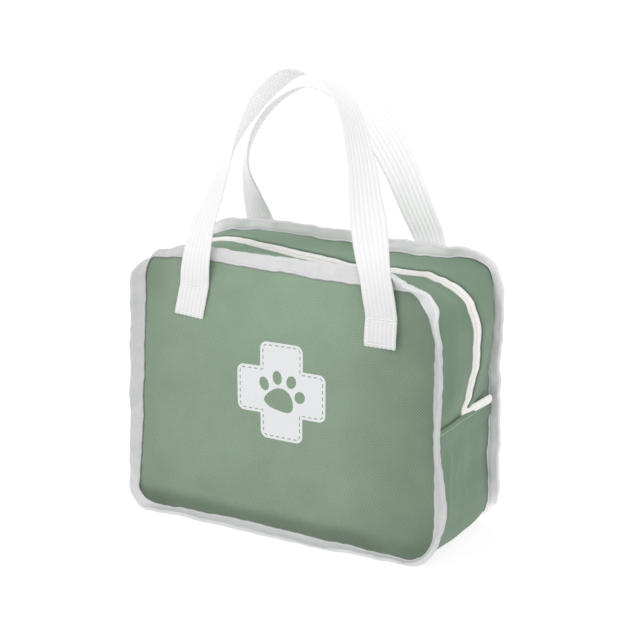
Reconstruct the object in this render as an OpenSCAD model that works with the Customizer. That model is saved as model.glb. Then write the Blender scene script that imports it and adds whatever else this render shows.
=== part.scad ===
// Soft toy doctor case: a canvas bag with bound seams, a zip that runs over
// the top, a front that folds open above mid height, and two webbing handles.
// Frame: +Z up, +X to the case's right, the front panel faces -Y.
// The origin is the centre of the footprint, on the surface it stands on.

/* [Case body] */
// Width over the bound edges
case_width = 250; // [220:5:280]
// Depth over the two panels
case_depth = 100; // [92:2:120]
// Height over the bound edges, handles not counted
case_height = 200; // [185:5:230]
// Outer radius of the panels' top corners
corner_top = 30; // [24:1:40]
// Outer radius of the panels' bottom corners
corner_bottom = 20; // [16:1:26]
// Thickness of the canvas with its backing
canvas = 1.6; // [1.2:0.1:2]

/* [Bound edges] */
// Width of the bound seam at the sides and top
flange = 11; // [9:0.5:13]
// Width of the bound seam under the case, which it stands on
foot_flange = 9; // [7:0.5:11]
// Thickness of one layer of binding
binding = 0.8; // [0.6:0.1:1]

/* [Zip] */
// Height of the zip's two ends, where the front folds
fold_height = 94; // [84:2:104]
// Canvas edge to canvas edge across the zip
zip_gap = 8.4; // [7:0.2:10]
// Width of one zip tape
tape_width = 13; // [11:1:16]
// Thickness of the zip tape
tape = 0.7; // [0.5:0.1:0.9]
// Length of the slider
slider_length = 11; // [9:1:13]
// Length of the pull
pull_length = 22; // [18:1:30]

/* [Handles] */
// Width of the webbing
webbing_width = 23.5; // [20:0.5:25]
// Thickness of the webbing
webbing = 1.6; // [1.2:0.1:2]
// Height of the top edge of the sewn ends
handle_base = 175; // [168:1:180]
// Length of each sewn end
sewn_length = 24; // [20:1:30]

/* [Hidden] */

$fn = 96;
e = 0.01;

green = [0.45, 0.58, 0.46];
white = [0.93, 0.93, 0.93];
cream = [0.92, 0.91, 0.87];
metal = [0.80, 0.80, 0.80];

half_w = case_width / 2;
half_d = case_depth / 2;          // outer face of each panel
inner_d = half_d - canvas;        // inner face of each panel
bind_out = half_d + binding;      // outer face of the binding
bind_in = inner_d - binding;      // inner face of the binding
seam_x = half_w - flange;         // where a side gusset meets the panels
seam_top = case_height - flange;
split = 0.3;                      // half the gap at the fold line
rim = 1;                          // binding wrapped over the panel's raw edge

coil_in = 0.8;                    // coil half: inner and outer edge across the zip
coil_out = 3;

// Handle routes: across, in from the panel, up from the sewn end, twist.
// The twist is 0 where the webbing lies flat to the panel and 90 where its
// flat side faces up.
front_route = [
    [-66, 0, 0.6, 0], [-66, 0, 12, 0], [-65, 0, 25, 0], [-61, 7, 47, 20],
    [-55, 15, 67, 38], [-48, 20, 87, 56], [-39, 26, 111, 80], [-26, 31, 133, 102],
    [-4, 34, 149, 106], [18, 34, 146, 98], [34, 32, 133, 88],
    [45, 28, 115, 80], [54, 22, 93, 68], [61, 15, 71, 56],
    [69, 7, 47, 26], [75, 0, 25, 0], [78, 0, 12, 0], [78, 0, 0.6, 0]
];
back_route = [
    [-75, 0, 0.6, 0], [-75, 0, 12, 0], [-75, 0, 25, 0], [-77, 8, 49, 24],
    [-75, 18, 75, 52], [-62, 24, 101, 74], [-40, 29, 123, 84], [-12, 32, 136, 86],
    [10, 33, 135, 76], [28, 30, 120, 46], [41, 24, 98, 20],
    [53, 17, 75, 4], [61, 8, 49, 0], [66, 0, 25, 0], [66, 0, 12, 0], [66, 0, 0.6, 0]
];
// Sewn ends: across, tilt of the lower end
front_ends = [[-66, -14], [78, 0]];
back_ends = [[-75, -4], [66, 3]];
strap_y = half_d + webbing + 1.4;  // middle of the webbing where a loop starts

// ---- outlines, drawn across and up ----

// Panel outline, pulled in by side and top inset i and foot inset b
module outline(i, b) {
    w = half_w - i;
    z0 = b;
    z1 = case_height - i;
    rt = corner_top - i;
    rb = corner_bottom - b;
    for (s = [-1, 1]) {
        translate([s * (w - rt), z1 - rt]) circle(r = rt);
        translate([s * (w - rb), z0 + rb]) circle(r = rb);
    }
    translate([-w, z0 + rb]) square([2 * w, z1 - rt - z0 - rb]);
    translate([-w + rt, z1 - rt - 1]) square([2 * (w - rt), rt + 1]);
    translate([-w + rb, z0]) square([2 * (w - rb), rb + 1]);
}

module band(i, b, t) {
    difference() {
        outline(i, b);
        outline(i + t, b + t);
    }
}

module above() {
    intersection() {
        children();
        translate([-half_w - 5, fold_height + split])
            square([case_width + 10, case_height]);
    }
}

module below() {
    intersection() {
        children();
        translate([-half_w - 5, -5])
            square([case_width + 10, fold_height - split + 5]);
    }
}

// Stands a drawn outline up and gives it depth from y0 to y1
module stand(y0, y1) {
    translate([0, y1, 0]) rotate([90, 0, 0]) linear_extrude(y1 - y0) children();
}

// ---- panels and bound edges ----

module binding_ring(upper) {
    // channel folded over the panel's edge, on the front side
    difference() {
        stand(-bind_out, -bind_in)
            if (upper == 1) above() ring_outline();
            else if (upper == 0) below() ring_outline();
            else ring_outline();
        stand(-half_d, -inner_d) outline(rim, rim);
    }
}

module ring_outline() {
    difference() {
        outline(0, 0);
        outline(flange, foot_flange);
    }
}

module front_panel_upper() { color(green) stand(-half_d, -inner_d) above() outline(rim, rim); }
module front_panel_lower() { color(green) stand(-half_d, -inner_d) below() outline(rim, rim); }
module back_panel() { color(green) stand(inner_d, half_d) outline(rim, rim); }
module front_binding_upper() { color(white) binding_ring(1); }
module front_binding_lower() { color(white) binding_ring(0); }
module back_binding() { color(white) mirror([0, 1, 0]) binding_ring(2); }

// ---- gusset: the band that joins the two panels ----

hem_height = 12;
hem_thick = 1.2;

module lower_gusset() {
    color(green) {
        stand(-inner_d, inner_d) below() band(flange, foot_flange, canvas);
        // folded hem over each end of the zip
        for (s = [-1, 1])
            translate([s > 0 ? seam_x - e : -seam_x - hem_thick, -bind_in + 0.4,
                       fold_height - split - hem_height])
                cube([hem_thick + e, 2 * (bind_in - 0.4), hem_height]);
    }
}

module strip(y0, y1) { color(green) stand(y0, y1) above() band(flange, foot_flange, canvas); }
module zip_strip_front() { strip(-inner_d, -zip_gap / 2); }
module zip_strip_back() { strip(zip_gap / 2, inner_d); }

module tape_band(y0, y1) {
    color(cream) stand(y0, y1) above() band(flange + canvas, foot_flange + canvas, tape);
}
module zip_tape_front() { tape_band(-tape_width - coil_in, -coil_in); }
module zip_tape_back() { tape_band(coil_in, tape_width + coil_in); }

module coil_band(y0, y1) {
    color(cream) stand(y0, y1) above() band(flange + 0.1, foot_flange + 0.1, canvas - 0.1);
}
module zip_coil_front() { coil_band(-coil_out, -coil_in); }
module zip_coil_back() { coil_band(coil_in, coil_out); }

// Loose end of the tape, sewn under the right hem
module zip_tail() {
    color(cream)
        translate([seam_x + hem_thick, 3, fold_height - 4])
            rotate([9, 0, -9]) translate([0, 0, -2.6]) tail_plate();
}
module tail_plate() {
    cube([1.4, 29, 5.2]);
    translate([0, 29, 2.6]) rotate([0, 90, 0]) cylinder(r = 2.6, h = 1.4);
}

// ---- stitching ----

thread = 0.5;

module hem_stitching() {
    color(green * 0.8)
        for (s = [-1, 1], k = [-1, 1])
            translate([s > 0 ? seam_x + hem_thick : -seam_x - hem_thick - 0.4,
                       k > 0 ? 8 : -bind_in + 2,
                       fold_height - 6.5])
                cube([0.4, bind_in - 10, thread]);
}

module thread_frame(w, h) {
    // stitched rectangle, drawn flat
    difference() {
        square([w, h], center = true);
        square([w - 2 * thread, h - 2 * thread], center = true);
    }
}

module end_plate(end) {
    translate([end[0], 0, handle_base]) rotate([0, -end[1], 0]) translate([0, 0, -sewn_length])
        translate([-webbing_width / 2, -half_d - webbing, 0])
            cube([webbing_width, webbing, sewn_length]);
}

module end_thread(end) {
    translate([end[0], 0, handle_base]) rotate([0, -end[1], 0])
        translate([0, -half_d - webbing, -sewn_length / 2]) rotate([90, 0, 0])
            linear_extrude(0.4) thread_frame(webbing_width - 3, sewn_length - 4);
}

module front_handle_end_left() { color(white) end_plate(front_ends[0]); }
module front_handle_end_right() { color(white) end_plate(front_ends[1]); }
module front_handle_stitching() { color(cream) for (k = front_ends) end_thread(k); }
module back_handle_end_left() { color(white) mirror([0, 1, 0]) end_plate(back_ends[0]); }
module back_handle_end_right() { color(white) mirror([0, 1, 0]) end_plate(back_ends[1]); }
module back_handle_stitching() { color(cream) mirror([0, 1, 0]) for (k = back_ends) end_thread(k); }

// ---- handles: webbing swept along its route, turning about its own length ----

function unit(v) = v / norm(v);
function curve(a, b, c, d, t) =
    0.5 * (2 * b + (c - a) * t + (2 * a - 5 * b + 4 * c - d) * t * t
           + (3 * b - a - 3 * c + d) * t * t * t);
function spline(p, n) = let (m = len(p) - 1) [
    for (i = [0:m - 1], j = [0:n - 1])
        curve(p[max(i - 1, 0)], p[i], p[i + 1], p[min(i + 2, m)], j / n),
    p[m]
];
// route point to place: side is -1 for the front handle and 1 for the back
function place(q, side) = [q[0], side * (strap_y - q[1]), handle_base + q[2]];
function ring_of(c, k, side) = let (
        m = len(c) - 1,
        p = place(c[k], side),
        t = unit(place(c[min(k + 1, m)], side) - place(c[max(k - 1, 0)], side)),
        depth = unit([0, 1, 0] - t * t[1]),
        flat = cross(t, depth),
        w = (flat * cos(c[k][3]) + depth * sin(c[k][3])) * webbing_width / 2,
        n = unit(cross(t, w)) * webbing / 2
    ) [p - w - n, p + w - n, p + w + n, p - w + n];

module strap(route, side) {
    c = spline(route, 4);
    m = len(c) - 1;
    polyhedron(
        points = [for (k = [0:m]) each ring_of(c, k, side)],
        faces = concat(
            [[0, 1, 2], [0, 2, 3]],
            [for (k = [0:m - 1], j = [0:3]) let (a = 4 * k + j, b = 4 * k + (j + 1) % 4)
                [a, a + 4, b]],
            [for (k = [0:m - 1], j = [0:3]) let (a = 4 * k + j, b = 4 * k + (j + 1) % 4)
                [b, a + 4, b + 4]],
            [[4 * m, 4 * m + 2, 4 * m + 1], [4 * m, 4 * m + 3, 4 * m + 2]]
        )
    );
}

module front_handle_loop() { color(white) strap(front_route, -1); }
module back_handle_loop() { color(white) strap(back_route, 1); }

// ---- zip slider, at the closed end of the zip, low on the left side ----

slide_z = fold_height + 1.5;       // lower end of the slider
plate_gap = 0.4;                   // clearance to the canvas and the tape
plate_t = 1.2;
plate_x0 = seam_x + plate_gap;     // inner face of the outside plate
under_x1 = seam_x - canvas - tape - plate_gap;

module wing() {
    // rounded shield, wide at the nose (down) and drawn across and up
    hull() {
        translate([-4.6, 3]) square([9.2, 1]);
        translate([-3.4, slider_length - 1]) square([6.8, 1]);
        for (s = [-1, 1]) translate([s * 3, 2.2]) circle(r = 2, $fn = 32);
    }
}

module slider_body() {
    color(metal) {
        for (x = [-plate_x0 - plate_t, -under_x1])
            translate([x, 0, slide_z]) rotate([90, 0, 90]) linear_extrude(plate_t) wing();
        // wedge that parts the two rows of coil
        translate([-plate_x0 - plate_t / 2, -0.45, slide_z + 1.2])
            cube([plate_x0 - under_x1 + plate_t, 0.9, 3.4]);
    }
}

bail_z = slide_z + 3.4;
bail_x = -plate_x0 - plate_t;      // outer face of the outside plate
bail_r = 0.5;                      // radius of the bail's bar
pull_x = bail_x - 1.6;             // middle of the bar

module slider_bail() {
    // low bridge on the slider that the pull hangs from
    color(metal) {
        for (s = [-1, 1])
            translate([pull_x - bail_r, s > 0 ? 1.9 : -2.7, bail_z - 0.6])
                cube([bail_x - pull_x + bail_r, 0.8, 1.2]);
        translate([pull_x, 0, bail_z]) rotate([90, 0, 0]) cylinder(r = bail_r, h = 5, center = true, $fn = 32);
    }
}

module zip_pull() {
    // flat pull with an eye round the bail's bar
    color(metal)
        difference() {
            union() {
                translate([pull_x, 0, bail_z]) rotate([90, 0, 0]) cylinder(r = 1.1, h = 3.2, center = true, $fn = 32);
                translate([pull_x - 0.5, -1.6, bail_z - 5]) cube([1, 3.2, 4.3]);
                translate([pull_x - 0.5, 0, 0]) rotate([90, 0, 90]) linear_extrude(1) pull_outline();
            }
            translate([pull_x, 0, bail_z]) rotate([90, 0, 0]) cylinder(r = bail_r + 0.15, h = 8, center = true, $fn = 32);
            translate([pull_x, 0, bail_z - pull_length + 3.5]) rotate([0, 90, 0])
                cylinder(r = 1.5, h = 4, center = true, $fn = 32);
        }
}

module pull_outline() {
    hull() {
        translate([-2, bail_z - 5.5]) square([4, 1]);
        translate([0, bail_z - pull_length + 3.5]) circle(r = 3.5, $fn = 32);
    }
}

back_panel();
back_binding();
lower_gusset();
front_panel_lower();
front_binding_lower();
zip_strip_back();
zip_tape_back();
zip_coil_back();
zip_tail();
hem_stitching();
back_handle_end_left();
back_handle_end_right();
back_handle_stitching();
front_panel_upper();
front_binding_upper();
zip_strip_front();
zip_tape_front();
zip_coil_front();
front_handle_end_left();
front_handle_end_right();
front_handle_stitching();
front_handle_loop();
back_handle_loop();
slider_body();
slider_bail();
zip_pull();
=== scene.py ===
import math

import bpy
import bmesh
import numpy as np
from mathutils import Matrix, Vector
from mathutils.geometry import delaunay_2d_cdt


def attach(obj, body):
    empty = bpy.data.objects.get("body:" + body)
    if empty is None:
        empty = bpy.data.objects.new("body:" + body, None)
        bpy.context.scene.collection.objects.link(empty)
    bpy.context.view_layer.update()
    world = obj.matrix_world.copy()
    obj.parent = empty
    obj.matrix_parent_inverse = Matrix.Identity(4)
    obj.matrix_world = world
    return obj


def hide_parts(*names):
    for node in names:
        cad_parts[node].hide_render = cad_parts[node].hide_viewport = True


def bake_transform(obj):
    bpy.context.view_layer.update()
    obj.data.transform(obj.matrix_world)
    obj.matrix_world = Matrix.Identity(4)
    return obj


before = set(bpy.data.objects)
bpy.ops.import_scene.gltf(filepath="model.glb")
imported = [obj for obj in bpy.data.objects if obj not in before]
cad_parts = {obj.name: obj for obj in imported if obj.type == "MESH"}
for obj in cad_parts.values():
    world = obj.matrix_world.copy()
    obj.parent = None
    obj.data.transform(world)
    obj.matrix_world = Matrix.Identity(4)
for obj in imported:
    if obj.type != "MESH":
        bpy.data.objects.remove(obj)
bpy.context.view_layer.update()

MM = 0.001
scene = bpy.context.scene

# ---------------------------------------------------------------- camera

AZ, EL, DIST = math.radians(29.38), math.radians(15.07), 1.2072
TARGET = Vector((0.00289, 0.0, 0.14882))
BACK = Vector((math.sin(AZ) * math.cos(EL), -math.cos(AZ) * math.cos(EL), math.sin(EL)))
cam_data = bpy.data.cameras.new("camera")
cam_data.sensor_width = 36.0
cam_data.lens = 96.53
cam_data.clip_start, cam_data.clip_end = 0.05, 20.0
camera = bpy.data.objects.new("camera", cam_data)
camera.location = TARGET + BACK * DIST
camera.rotation_mode = "QUATERNION"
camera.rotation_quaternion = (-BACK).to_track_quat("-Z", "Y")
scene.collection.objects.link(camera)
scene.camera = camera

# ---------------------------------------------------------------- sizes, in millimetres

SEAM_X, SEAM_LOW, SEAM_TOP = 114.0, 9.0, 189.0
FOLD = 94.0
MID_Y = 49.2
CANVAS = 1.6
BIND = 0.8
ZIP_EDGE = 4.2

# ---------------------------------------------------------------- helpers


def smooth(a, b, x):
    t = np.clip((np.asarray(x, float) - a) / (b - a), 0, 1)
    return t * t * (3 - 2 * t)


def pressed(z, least):
    """Heights with everything that would lie under least pressed up to it, softly."""
    return least + 0.35 * np.log1p(np.exp(np.minimum((z - least) / 0.35, 60))) + np.maximum(z - least - 21, 0)


def bell(x, c, w):
    return np.exp(-(((np.asarray(x, float) - c) / w) ** 2))


def table(rows, x, column):
    """Smooth interpolation of a column of listed rows, the first entry of each being its place."""
    xs = np.array([r[0] for r in rows], float)
    ys = np.array([r[column] for r in rows], float)
    x = np.clip(np.asarray(x, float), xs[0], xs[-1])
    i = np.clip(np.searchsorted(xs, x, side="right") - 1, 0, len(xs) - 2)
    h = xs[i + 1] - xs[i]
    t = (x - xs[i]) / h
    d = np.diff(ys) / np.diff(xs)
    slope = np.zeros(len(xs))
    same = d[:-1] * d[1:] > 0
    slope[1:-1][same] = (2 * d[:-1] * d[1:] / np.where(same, d[:-1] + d[1:], 1))[same]
    a, b = slope[i] * h, slope[i + 1] * h
    return (
        (2 * t**3 - 3 * t**2 + 1) * ys[i]
        + (t**3 - 2 * t**2 + t) * a
        + (-2 * t**3 + 3 * t**2) * ys[i + 1]
        + (t**3 - t**2) * b
    )


def ripple(seed, x, waves, spread=0.35):
    """A smooth, seeded wander of about -1 to 1 along x, made of waves of these lengths."""
    rng = np.random.RandomState(seed)
    out = np.zeros_like(np.asarray(x, float))
    for w in waves:
        k = 2 * math.pi / (w * (1 + spread * (rng.rand() - 0.5)))
        out = out + np.sin(k * np.asarray(x, float) + rng.rand() * 6.283)
    return out / math.sqrt(len(waves)) * 0.8


def cloth_noise(seed, x, y, size, n=14):
    """A smooth, seeded, two-way unevenness of about -1 to 1, with lumps of roughly this size."""
    rng = np.random.RandomState(seed)
    out = np.zeros_like(np.asarray(x, float))
    for _ in range(n):
        a = rng.rand() * math.pi
        k = 2 * math.pi / (size * (0.7 + 0.9 * rng.rand()))
        out = out + np.sin(k * (math.cos(a) * x + math.sin(a) * y) + rng.rand() * 6.283)
    return out / math.sqrt(n)


def ridge(x, z, x0, z0, x1, z1, width, amount, fade=0.25):
    """A soft crease along a line: amount high at its middle, fading at its ends."""
    dx, dz = x1 - x0, z1 - z0
    length = math.hypot(dx, dz)
    t = ((x - x0) * dx + (z - z0) * dz) / length**2
    d = ((x - x0) * dz - (z - z0) * dx) / length
    ends = smooth(-0.02, fade, t) * (1 - smooth(1 - fade, 1.02, t))
    return amount * np.exp(-((d / width) ** 2)) * ends


def unit(v):
    return v / np.maximum(np.linalg.norm(v, axis=-1, keepdims=True), 1e-9)


def add_object(name, verts, faces, uvs=None, material=None, slots=None, smooth_it=True, tone=None):
    """A mesh object from points in millimetres. uvs holds one pair per face corner, in millimetres of cloth, and tone
    one number per point: mostly painted light and shade, how much lighter or darker the cloth is drawn there."""
    me = bpy.data.meshes.new(name)
    me.from_pydata([tuple(v) for v in np.asarray(verts, float) * MM], [], [tuple(f) for f in faces])
    if uvs is not None:
        layer = me.uv_layers.new(name="cloth")
        layer.uv.foreach_set("vector", np.asarray(uvs, np.float32).ravel() * 0.1)
    materials = material if isinstance(material, list) else [material]
    for m in materials:
        if m is not None:
            me.materials.append(m)
    if slots is not None:
        me.polygons.foreach_set("material_index", np.asarray(slots, np.int32))
    if smooth_it:
        me.polygons.foreach_set("use_smooth", np.ones(len(me.polygons), bool))
    me.attributes.new("tone", "FLOAT", "POINT").data.foreach_set(
        "value", np.ones(len(verts), np.float32) if tone is None else np.asarray(tone, np.float32)
    )
    me.validate()
    me.update()
    ob = bpy.data.objects.new(name, me)
    scene.collection.objects.link(ob)
    return ob


def outward(ob):
    """Turns the faces of a closed mesh to the outside."""
    bm = bmesh.new()
    bm.from_mesh(ob.data)
    bmesh.ops.recalc_face_normals(bm, faces=bm.faces)
    bm.to_mesh(ob.data)
    bm.free()
    return ob


def shell(name, P, Q, U, V, wrap, material, rim=0.8, tone=None):
    """A closed sheet between two grids of points, P outside and Q inside, with rounded raw or folded edges.
    U and V are the cloth coordinates in millimetres; a wrapped sheet has one more column of U than rows. tone is
    a grid of painted light and shade: how much lighter or darker the cloth is drawn."""
    m, n = P.shape[:2]
    P, Q = P.copy(), Q.copy()
    P[..., 2] = np.maximum(P[..., 2], 0.12)
    Q[..., 2] = np.maximum(Q[..., 2], 0.6)
    verts = [P.reshape(-1, 3), Q.reshape(-1, 3)]
    tone = np.ones((m, n)) if tone is None else tone + np.zeros((m, n))
    tones = [tone.ravel(), tone.ravel()]
    faces, uvs = [], []
    rows = m if wrap else m - 1

    def uv(i, j):
        return (U[i, j] if U.ndim == 2 else U[i], V[i % m, j] if V.ndim == 2 else V[j])

    for i in range(rows):
        k = (i + 1) % m
        for j in range(n - 1):
            a, b, c, d = i * n + j, k * n + j, k * n + j + 1, i * n + j + 1
            w = [uv(i, j), uv(i + 1, j), uv(i + 1, j + 1), uv(i, j + 1)]
            faces.append((a, b, c, d))
            uvs.extend(w)
            o = m * n
            faces.append((a + o, d + o, c + o, b + o))
            uvs.extend([w[0], w[3], w[2], w[1]])
    # edges
    loops = []
    if wrap:
        loops.append([(i, 0, i, 1) for i in range(m)])
        loops.append([(i, n - 1, i, n - 2) for i in range(m)])
    else:
        ring = [(i, 0, i, 1) for i in range(m)]
        ring += [(m - 1, j, m - 2, j) for j in range(1, n)]
        ring += [(i, n - 1, i, n - 2) for i in range(m - 2, -1, -1)]
        ring += [(0, j, 1, j) for j in range(n - 2, 0, -1)]
        loops.append(ring)
    base = 2 * m * n
    for ring in loops:
        idx = np.array([(a, b) for a, b, _, _ in ring])
        inner = np.array([(c, d) for _, _, c, d in ring])
        p, q = P[idx[:, 0], idx[:, 1]], Q[idx[:, 0], idx[:, 1]]
        mid = (p + q) / 2
        out = unit(mid - (P[inner[:, 0], inner[:, 1]] + Q[inner[:, 0], inner[:, 1]]) / 2)
        half = np.linalg.norm(p - q, axis=1, keepdims=True) / 2
        verts.append(mid + out * half * rim)
        tones.append(tone[idx[:, 0], idx[:, 1]])
        count = len(ring)
        for k in range(count):
            l = (k + 1) % count
            i0, j0 = ring[k][:2]
            i1, j1 = ring[l][:2]
            p0, p1 = i0 * n + j0, i1 * n + j1
            e0, e1 = base + k, base + l
            u0 = uv(i0, j0)
            u1 = uv(m if wrap and l == 0 else i1, j1)
            faces.append((p0, p1, e1, e0))
            uvs.extend([u0, u1, u1, u0])
            faces.append((e0, e1, p1 + m * n, p0 + m * n))
            uvs.extend([u0, u1, u1, u0])
        base += count
    ob = add_object(name, np.concatenate(verts), faces, uvs, material, tone=np.concatenate(tones))
    return outward(ob)


# ---------------------------------------------------------------- materials


def new_material(name):
    m = bpy.data.materials.new(name)
    m.use_nodes = True
    m.node_tree.nodes.clear()
    return m


class Nodes:
    """Short names for building a material's nodes."""

    def __init__(self, material):
        self.t = material.node_tree

    def add(self, kind, **values):
        n = self.t.nodes.new(kind)
        for k, v in values.items():
            if hasattr(n, k) and k not in n.inputs:
                setattr(n, k, v)
            else:
                n.inputs[k].default_value = v
        return n

    def link(self, a, b):
        self.t.links.new(a, b)

    def math(self, op, a, b=None, clamp=False):
        n = self.t.nodes.new("ShaderNodeMath")
        n.operation = op
        n.use_clamp = clamp
        for k, v in enumerate((a, b)):
            if v is None:
                continue
            if isinstance(v, (int, float)):
                n.inputs[k].default_value = v
            else:
                self.link(v, n.inputs[k])
        return n.outputs[0]

    def noise(self, vector, scale, detail=3.0, rough=0.5):
        n = self.t.nodes.new("ShaderNodeTexNoise")
        n.inputs["Scale"].default_value = scale
        n.inputs["Detail"].default_value = detail
        n.inputs["Roughness"].default_value = rough
        self.link(vector, n.inputs["Vector"])
        return n.outputs["Fac"]

    def ramp(self, fac, stops):
        n = self.t.nodes.new("ShaderNodeValToRGB")
        els = n.color_ramp.elements
        while len(els) < len(stops):
            els.new(0.5)
        for e, (pos, col) in zip(els, stops):
            e.position = pos
            e.color = (*col, 1) if len(col) == 3 else col
        self.link(fac, n.inputs["Fac"])
        return n.outputs["Color"]

    def mix(self, fac, a, b, mode="MIX"):
        n = self.t.nodes.new("ShaderNodeMix")
        n.data_type = "RGBA"
        n.blend_type = mode
        for socket, v in ((n.inputs[0], fac), (n.inputs[6], a), (n.inputs[7], b)):
            if isinstance(v, (int, float)):
                socket.default_value = v
            elif isinstance(v, tuple):
                socket.default_value = (*v, 1)
            else:
                self.link(v, socket)
        return n.outputs[2]

    def bump(self, height, strength, distance, normal=None):
        n = self.t.nodes.new("ShaderNodeBump")
        n.inputs["Strength"].default_value = strength
        n.inputs["Distance"].default_value = distance
        self.link(height, n.inputs["Height"])
        if normal is not None:
            self.link(normal, n.inputs["Normal"])
        return n.outputs["Normal"]

    def cloth(self):
        """Cloth coordinates in centimetres across and along."""
        uv = self.t.nodes.new("ShaderNodeUVMap")
        uv.uv_map = "cloth"
        return uv.outputs["UV"]

    def place(self):
        tc = self.t.nodes.new("ShaderNodeTexCoord")
        return tc.outputs["Object"]

    def toned(self, colour):
        """The colour, lighter or darker by the piece's tone: painted light and shade."""
        a = self.t.nodes.new("ShaderNodeAttribute")
        a.attribute_name = "tone"
        comb = self.t.nodes.new("ShaderNodeCombineColor")
        for k in range(3):
            self.link(a.outputs["Fac"], comb.inputs[k])
        return self.mix(1.0, colour, comb.outputs[0], "MULTIPLY")

    def finish(self, colour, rough, normal, sheen=0.0, sheen_rough=0.5, metal=0.0, spec=0.35, sss=0.0, sheen_tint=(1, 1, 1)):
        b = self.t.nodes.new("ShaderNodeBsdfPrincipled")
        o = self.t.nodes.new("ShaderNodeOutputMaterial")
        if isinstance(colour, tuple):
            b.inputs["Base Color"].default_value = (*colour, 1)
        else:
            self.link(colour, b.inputs["Base Color"])
        if isinstance(rough, (int, float)):
            b.inputs["Roughness"].default_value = rough
        else:
            self.link(rough, b.inputs["Roughness"])
        if normal is not None:
            self.link(normal, b.inputs["Normal"])
        b.inputs["Metallic"].default_value = metal
        b.inputs["Specular IOR Level"].default_value = spec
        b.inputs["Sheen Weight"].default_value = sheen
        b.inputs["Sheen Roughness"].default_value = sheen_rough
        b.inputs["Sheen Tint"].default_value = (*sheen_tint, 1)
        if sss:
            b.inputs["Subsurface Weight"].default_value = sss
            b.inputs["Subsurface Radius"].default_value = (0.003, 0.003, 0.003)
            b.inputs["Subsurface Scale"].default_value = 1.0
        self.link(b.outputs[0], o.inputs[0])
        return b


def split_xy(n, vector):
    s = n.t.nodes.new("ShaderNodeSeparateXYZ")
    n.link(vector, s.inputs[0])
    return s.outputs[0], s.outputs[1]


def dotted_weave(n, uv, pitch):
    """Rows of small dots on the bias, pitch millimetres apart: 0 to 1."""
    u, v = split_xy(n, uv)
    k = 2 * math.pi * 10 / pitch / math.sqrt(2)
    a = n.math("SINE", n.math("MULTIPLY", n.math("ADD", u, v), k))
    b = n.math("SINE", n.math("MULTIPLY", n.math("SUBTRACT", u, v), k))
    return n.math("ADD", n.math("MULTIPLY", n.math("ADD", a, b), 0.25), 0.5)


def canvas_material(name, deep, base, light, ink=None, fold=None):
    """Canvas with small dots on the bias. fold is how far along v a folded edge lies, in millimetres: painted shade
    darkens the fold's turn there, for the shadow in the gap beside the zip."""
    m = new_material(name)
    n = Nodes(m)
    uv = n.cloth()
    dots = dotted_weave(n, uv, 1.40)
    fibre = n.noise(uv, 22.0, 4.0, 0.65)
    patch = n.noise(uv, 0.42, 3.0, 0.55)
    fine = n.noise(uv, 3.2, 3.0, 0.6)
    if ink is None:
        colour = n.ramp(patch, [(0.28, deep), (0.52, base), (0.76, light)])
        colour = n.mix(n.math("MULTIPLY", fine, 0.25), colour, light)
        # the dots' hollows hold less light and a little more colour
        colour = n.mix(n.math("MULTIPLY", n.math("SUBTRACT", 1.0, dots), 0.95), colour, tuple(c * 0.46 for c in base))
        colour = n.mix(n.math("MULTIPLY", n.ramp(fibre, [(0.45, (0, 0, 0)), (0.75, (1, 1, 1))]), 0.10), colour, (0.72, 0.80, 0.70))
        if fold:
            # painted shade along the folded edge, for the shadow in the gap beside the zip
            u, v = split_xy(n, uv)
            near = n.math("SUBTRACT", n.math("MULTIPLY", n.math("ABSOLUTE", v), 10.0), fold - 0.9)
            colour = n.mix(n.math("MULTIPLY", near, 0.9, clamp=True), colour, tuple(c * 0.3 for c in base))
        colour = n.toned(colour)
        rough = n.math("ADD", n.math("MULTIPLY", fibre, 0.14), 0.72)
        sheen, spec = 0.10, 0.28
    else:
        colour = n.mix(n.math("MULTIPLY", n.math("SUBTRACT", 1.0, dots), 0.10), ink, tuple(c * 0.80 for c in ink))
        worn = n.ramp(n.noise(uv, 5.0, 5.0, 0.7), [(0.64, (0, 0, 0)), (0.80, (1, 1, 1))])
        colour = n.mix(n.math("MULTIPLY", worn, 0.16), colour, base)
        rough = n.math("ADD", n.math("MULTIPLY", fibre, 0.12), 0.55)
        sheen, spec = 0.02, 0.35
    normal = n.bump(dots, 0.65 if ink is None else 0.35, 0.00025)
    normal = n.bump(fibre, 0.30, 0.00010, normal)
    normal = n.bump(fine, 0.20, 0.0004, normal)
    n.finish(colour, rough, normal, sheen=sheen, sheen_rough=0.6, spec=spec)
    return m


def soft_white_material(name, colour_a, colour_b, line=None):
    """The binding: a soft, slightly hairy white tape."""
    m = new_material(name)
    n = Nodes(m)
    uv = n.cloth()
    u, v = split_xy(n, uv)
    hair = n.noise(uv, 26.0, 5.0, 0.7)
    cloud = n.noise(uv, 0.9, 4.0, 0.6)
    # faint lines along the tape, from its own weave
    comb = n.t.nodes.new("ShaderNodeCombineXYZ")
    n.link(n.math("MULTIPLY", u, 1.2), comb.inputs[0])
    n.link(n.math("MULTIPLY", v, 26.0), comb.inputs[1])
    lines = n.noise(comb.outputs[0], 1.0, 3.0, 0.6)
    comb2 = n.t.nodes.new("ShaderNodeCombineXYZ")
    n.link(n.math("MULTIPLY", u, 9.0), comb2.inputs[0])
    n.link(n.math("MULTIPLY", v, 1.6), comb2.inputs[1])
    pucker = n.noise(comb2.outputs[0], 1.0, 2.0, 0.5)
    colour = n.ramp(cloud, [(0.32, colour_b), (0.68, colour_a)])
    colour = n.toned(n.mix(n.math("MULTIPLY", lines, 0.16), colour, tuple(c * 0.86 for c in colour_b)))
    normal = n.bump(hair, 0.35, 0.00018)
    normal = n.bump(lines, 0.35, 0.00022, normal)
    normal = n.bump(pucker, 0.30, 0.0007, normal)
    n.finish(colour, n.math("ADD", n.math("MULTIPLY", hair, 0.10), 0.84), normal, sheen=0.25, sheen_rough=0.45, spec=0.22, sss=0.2)
    return m


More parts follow.
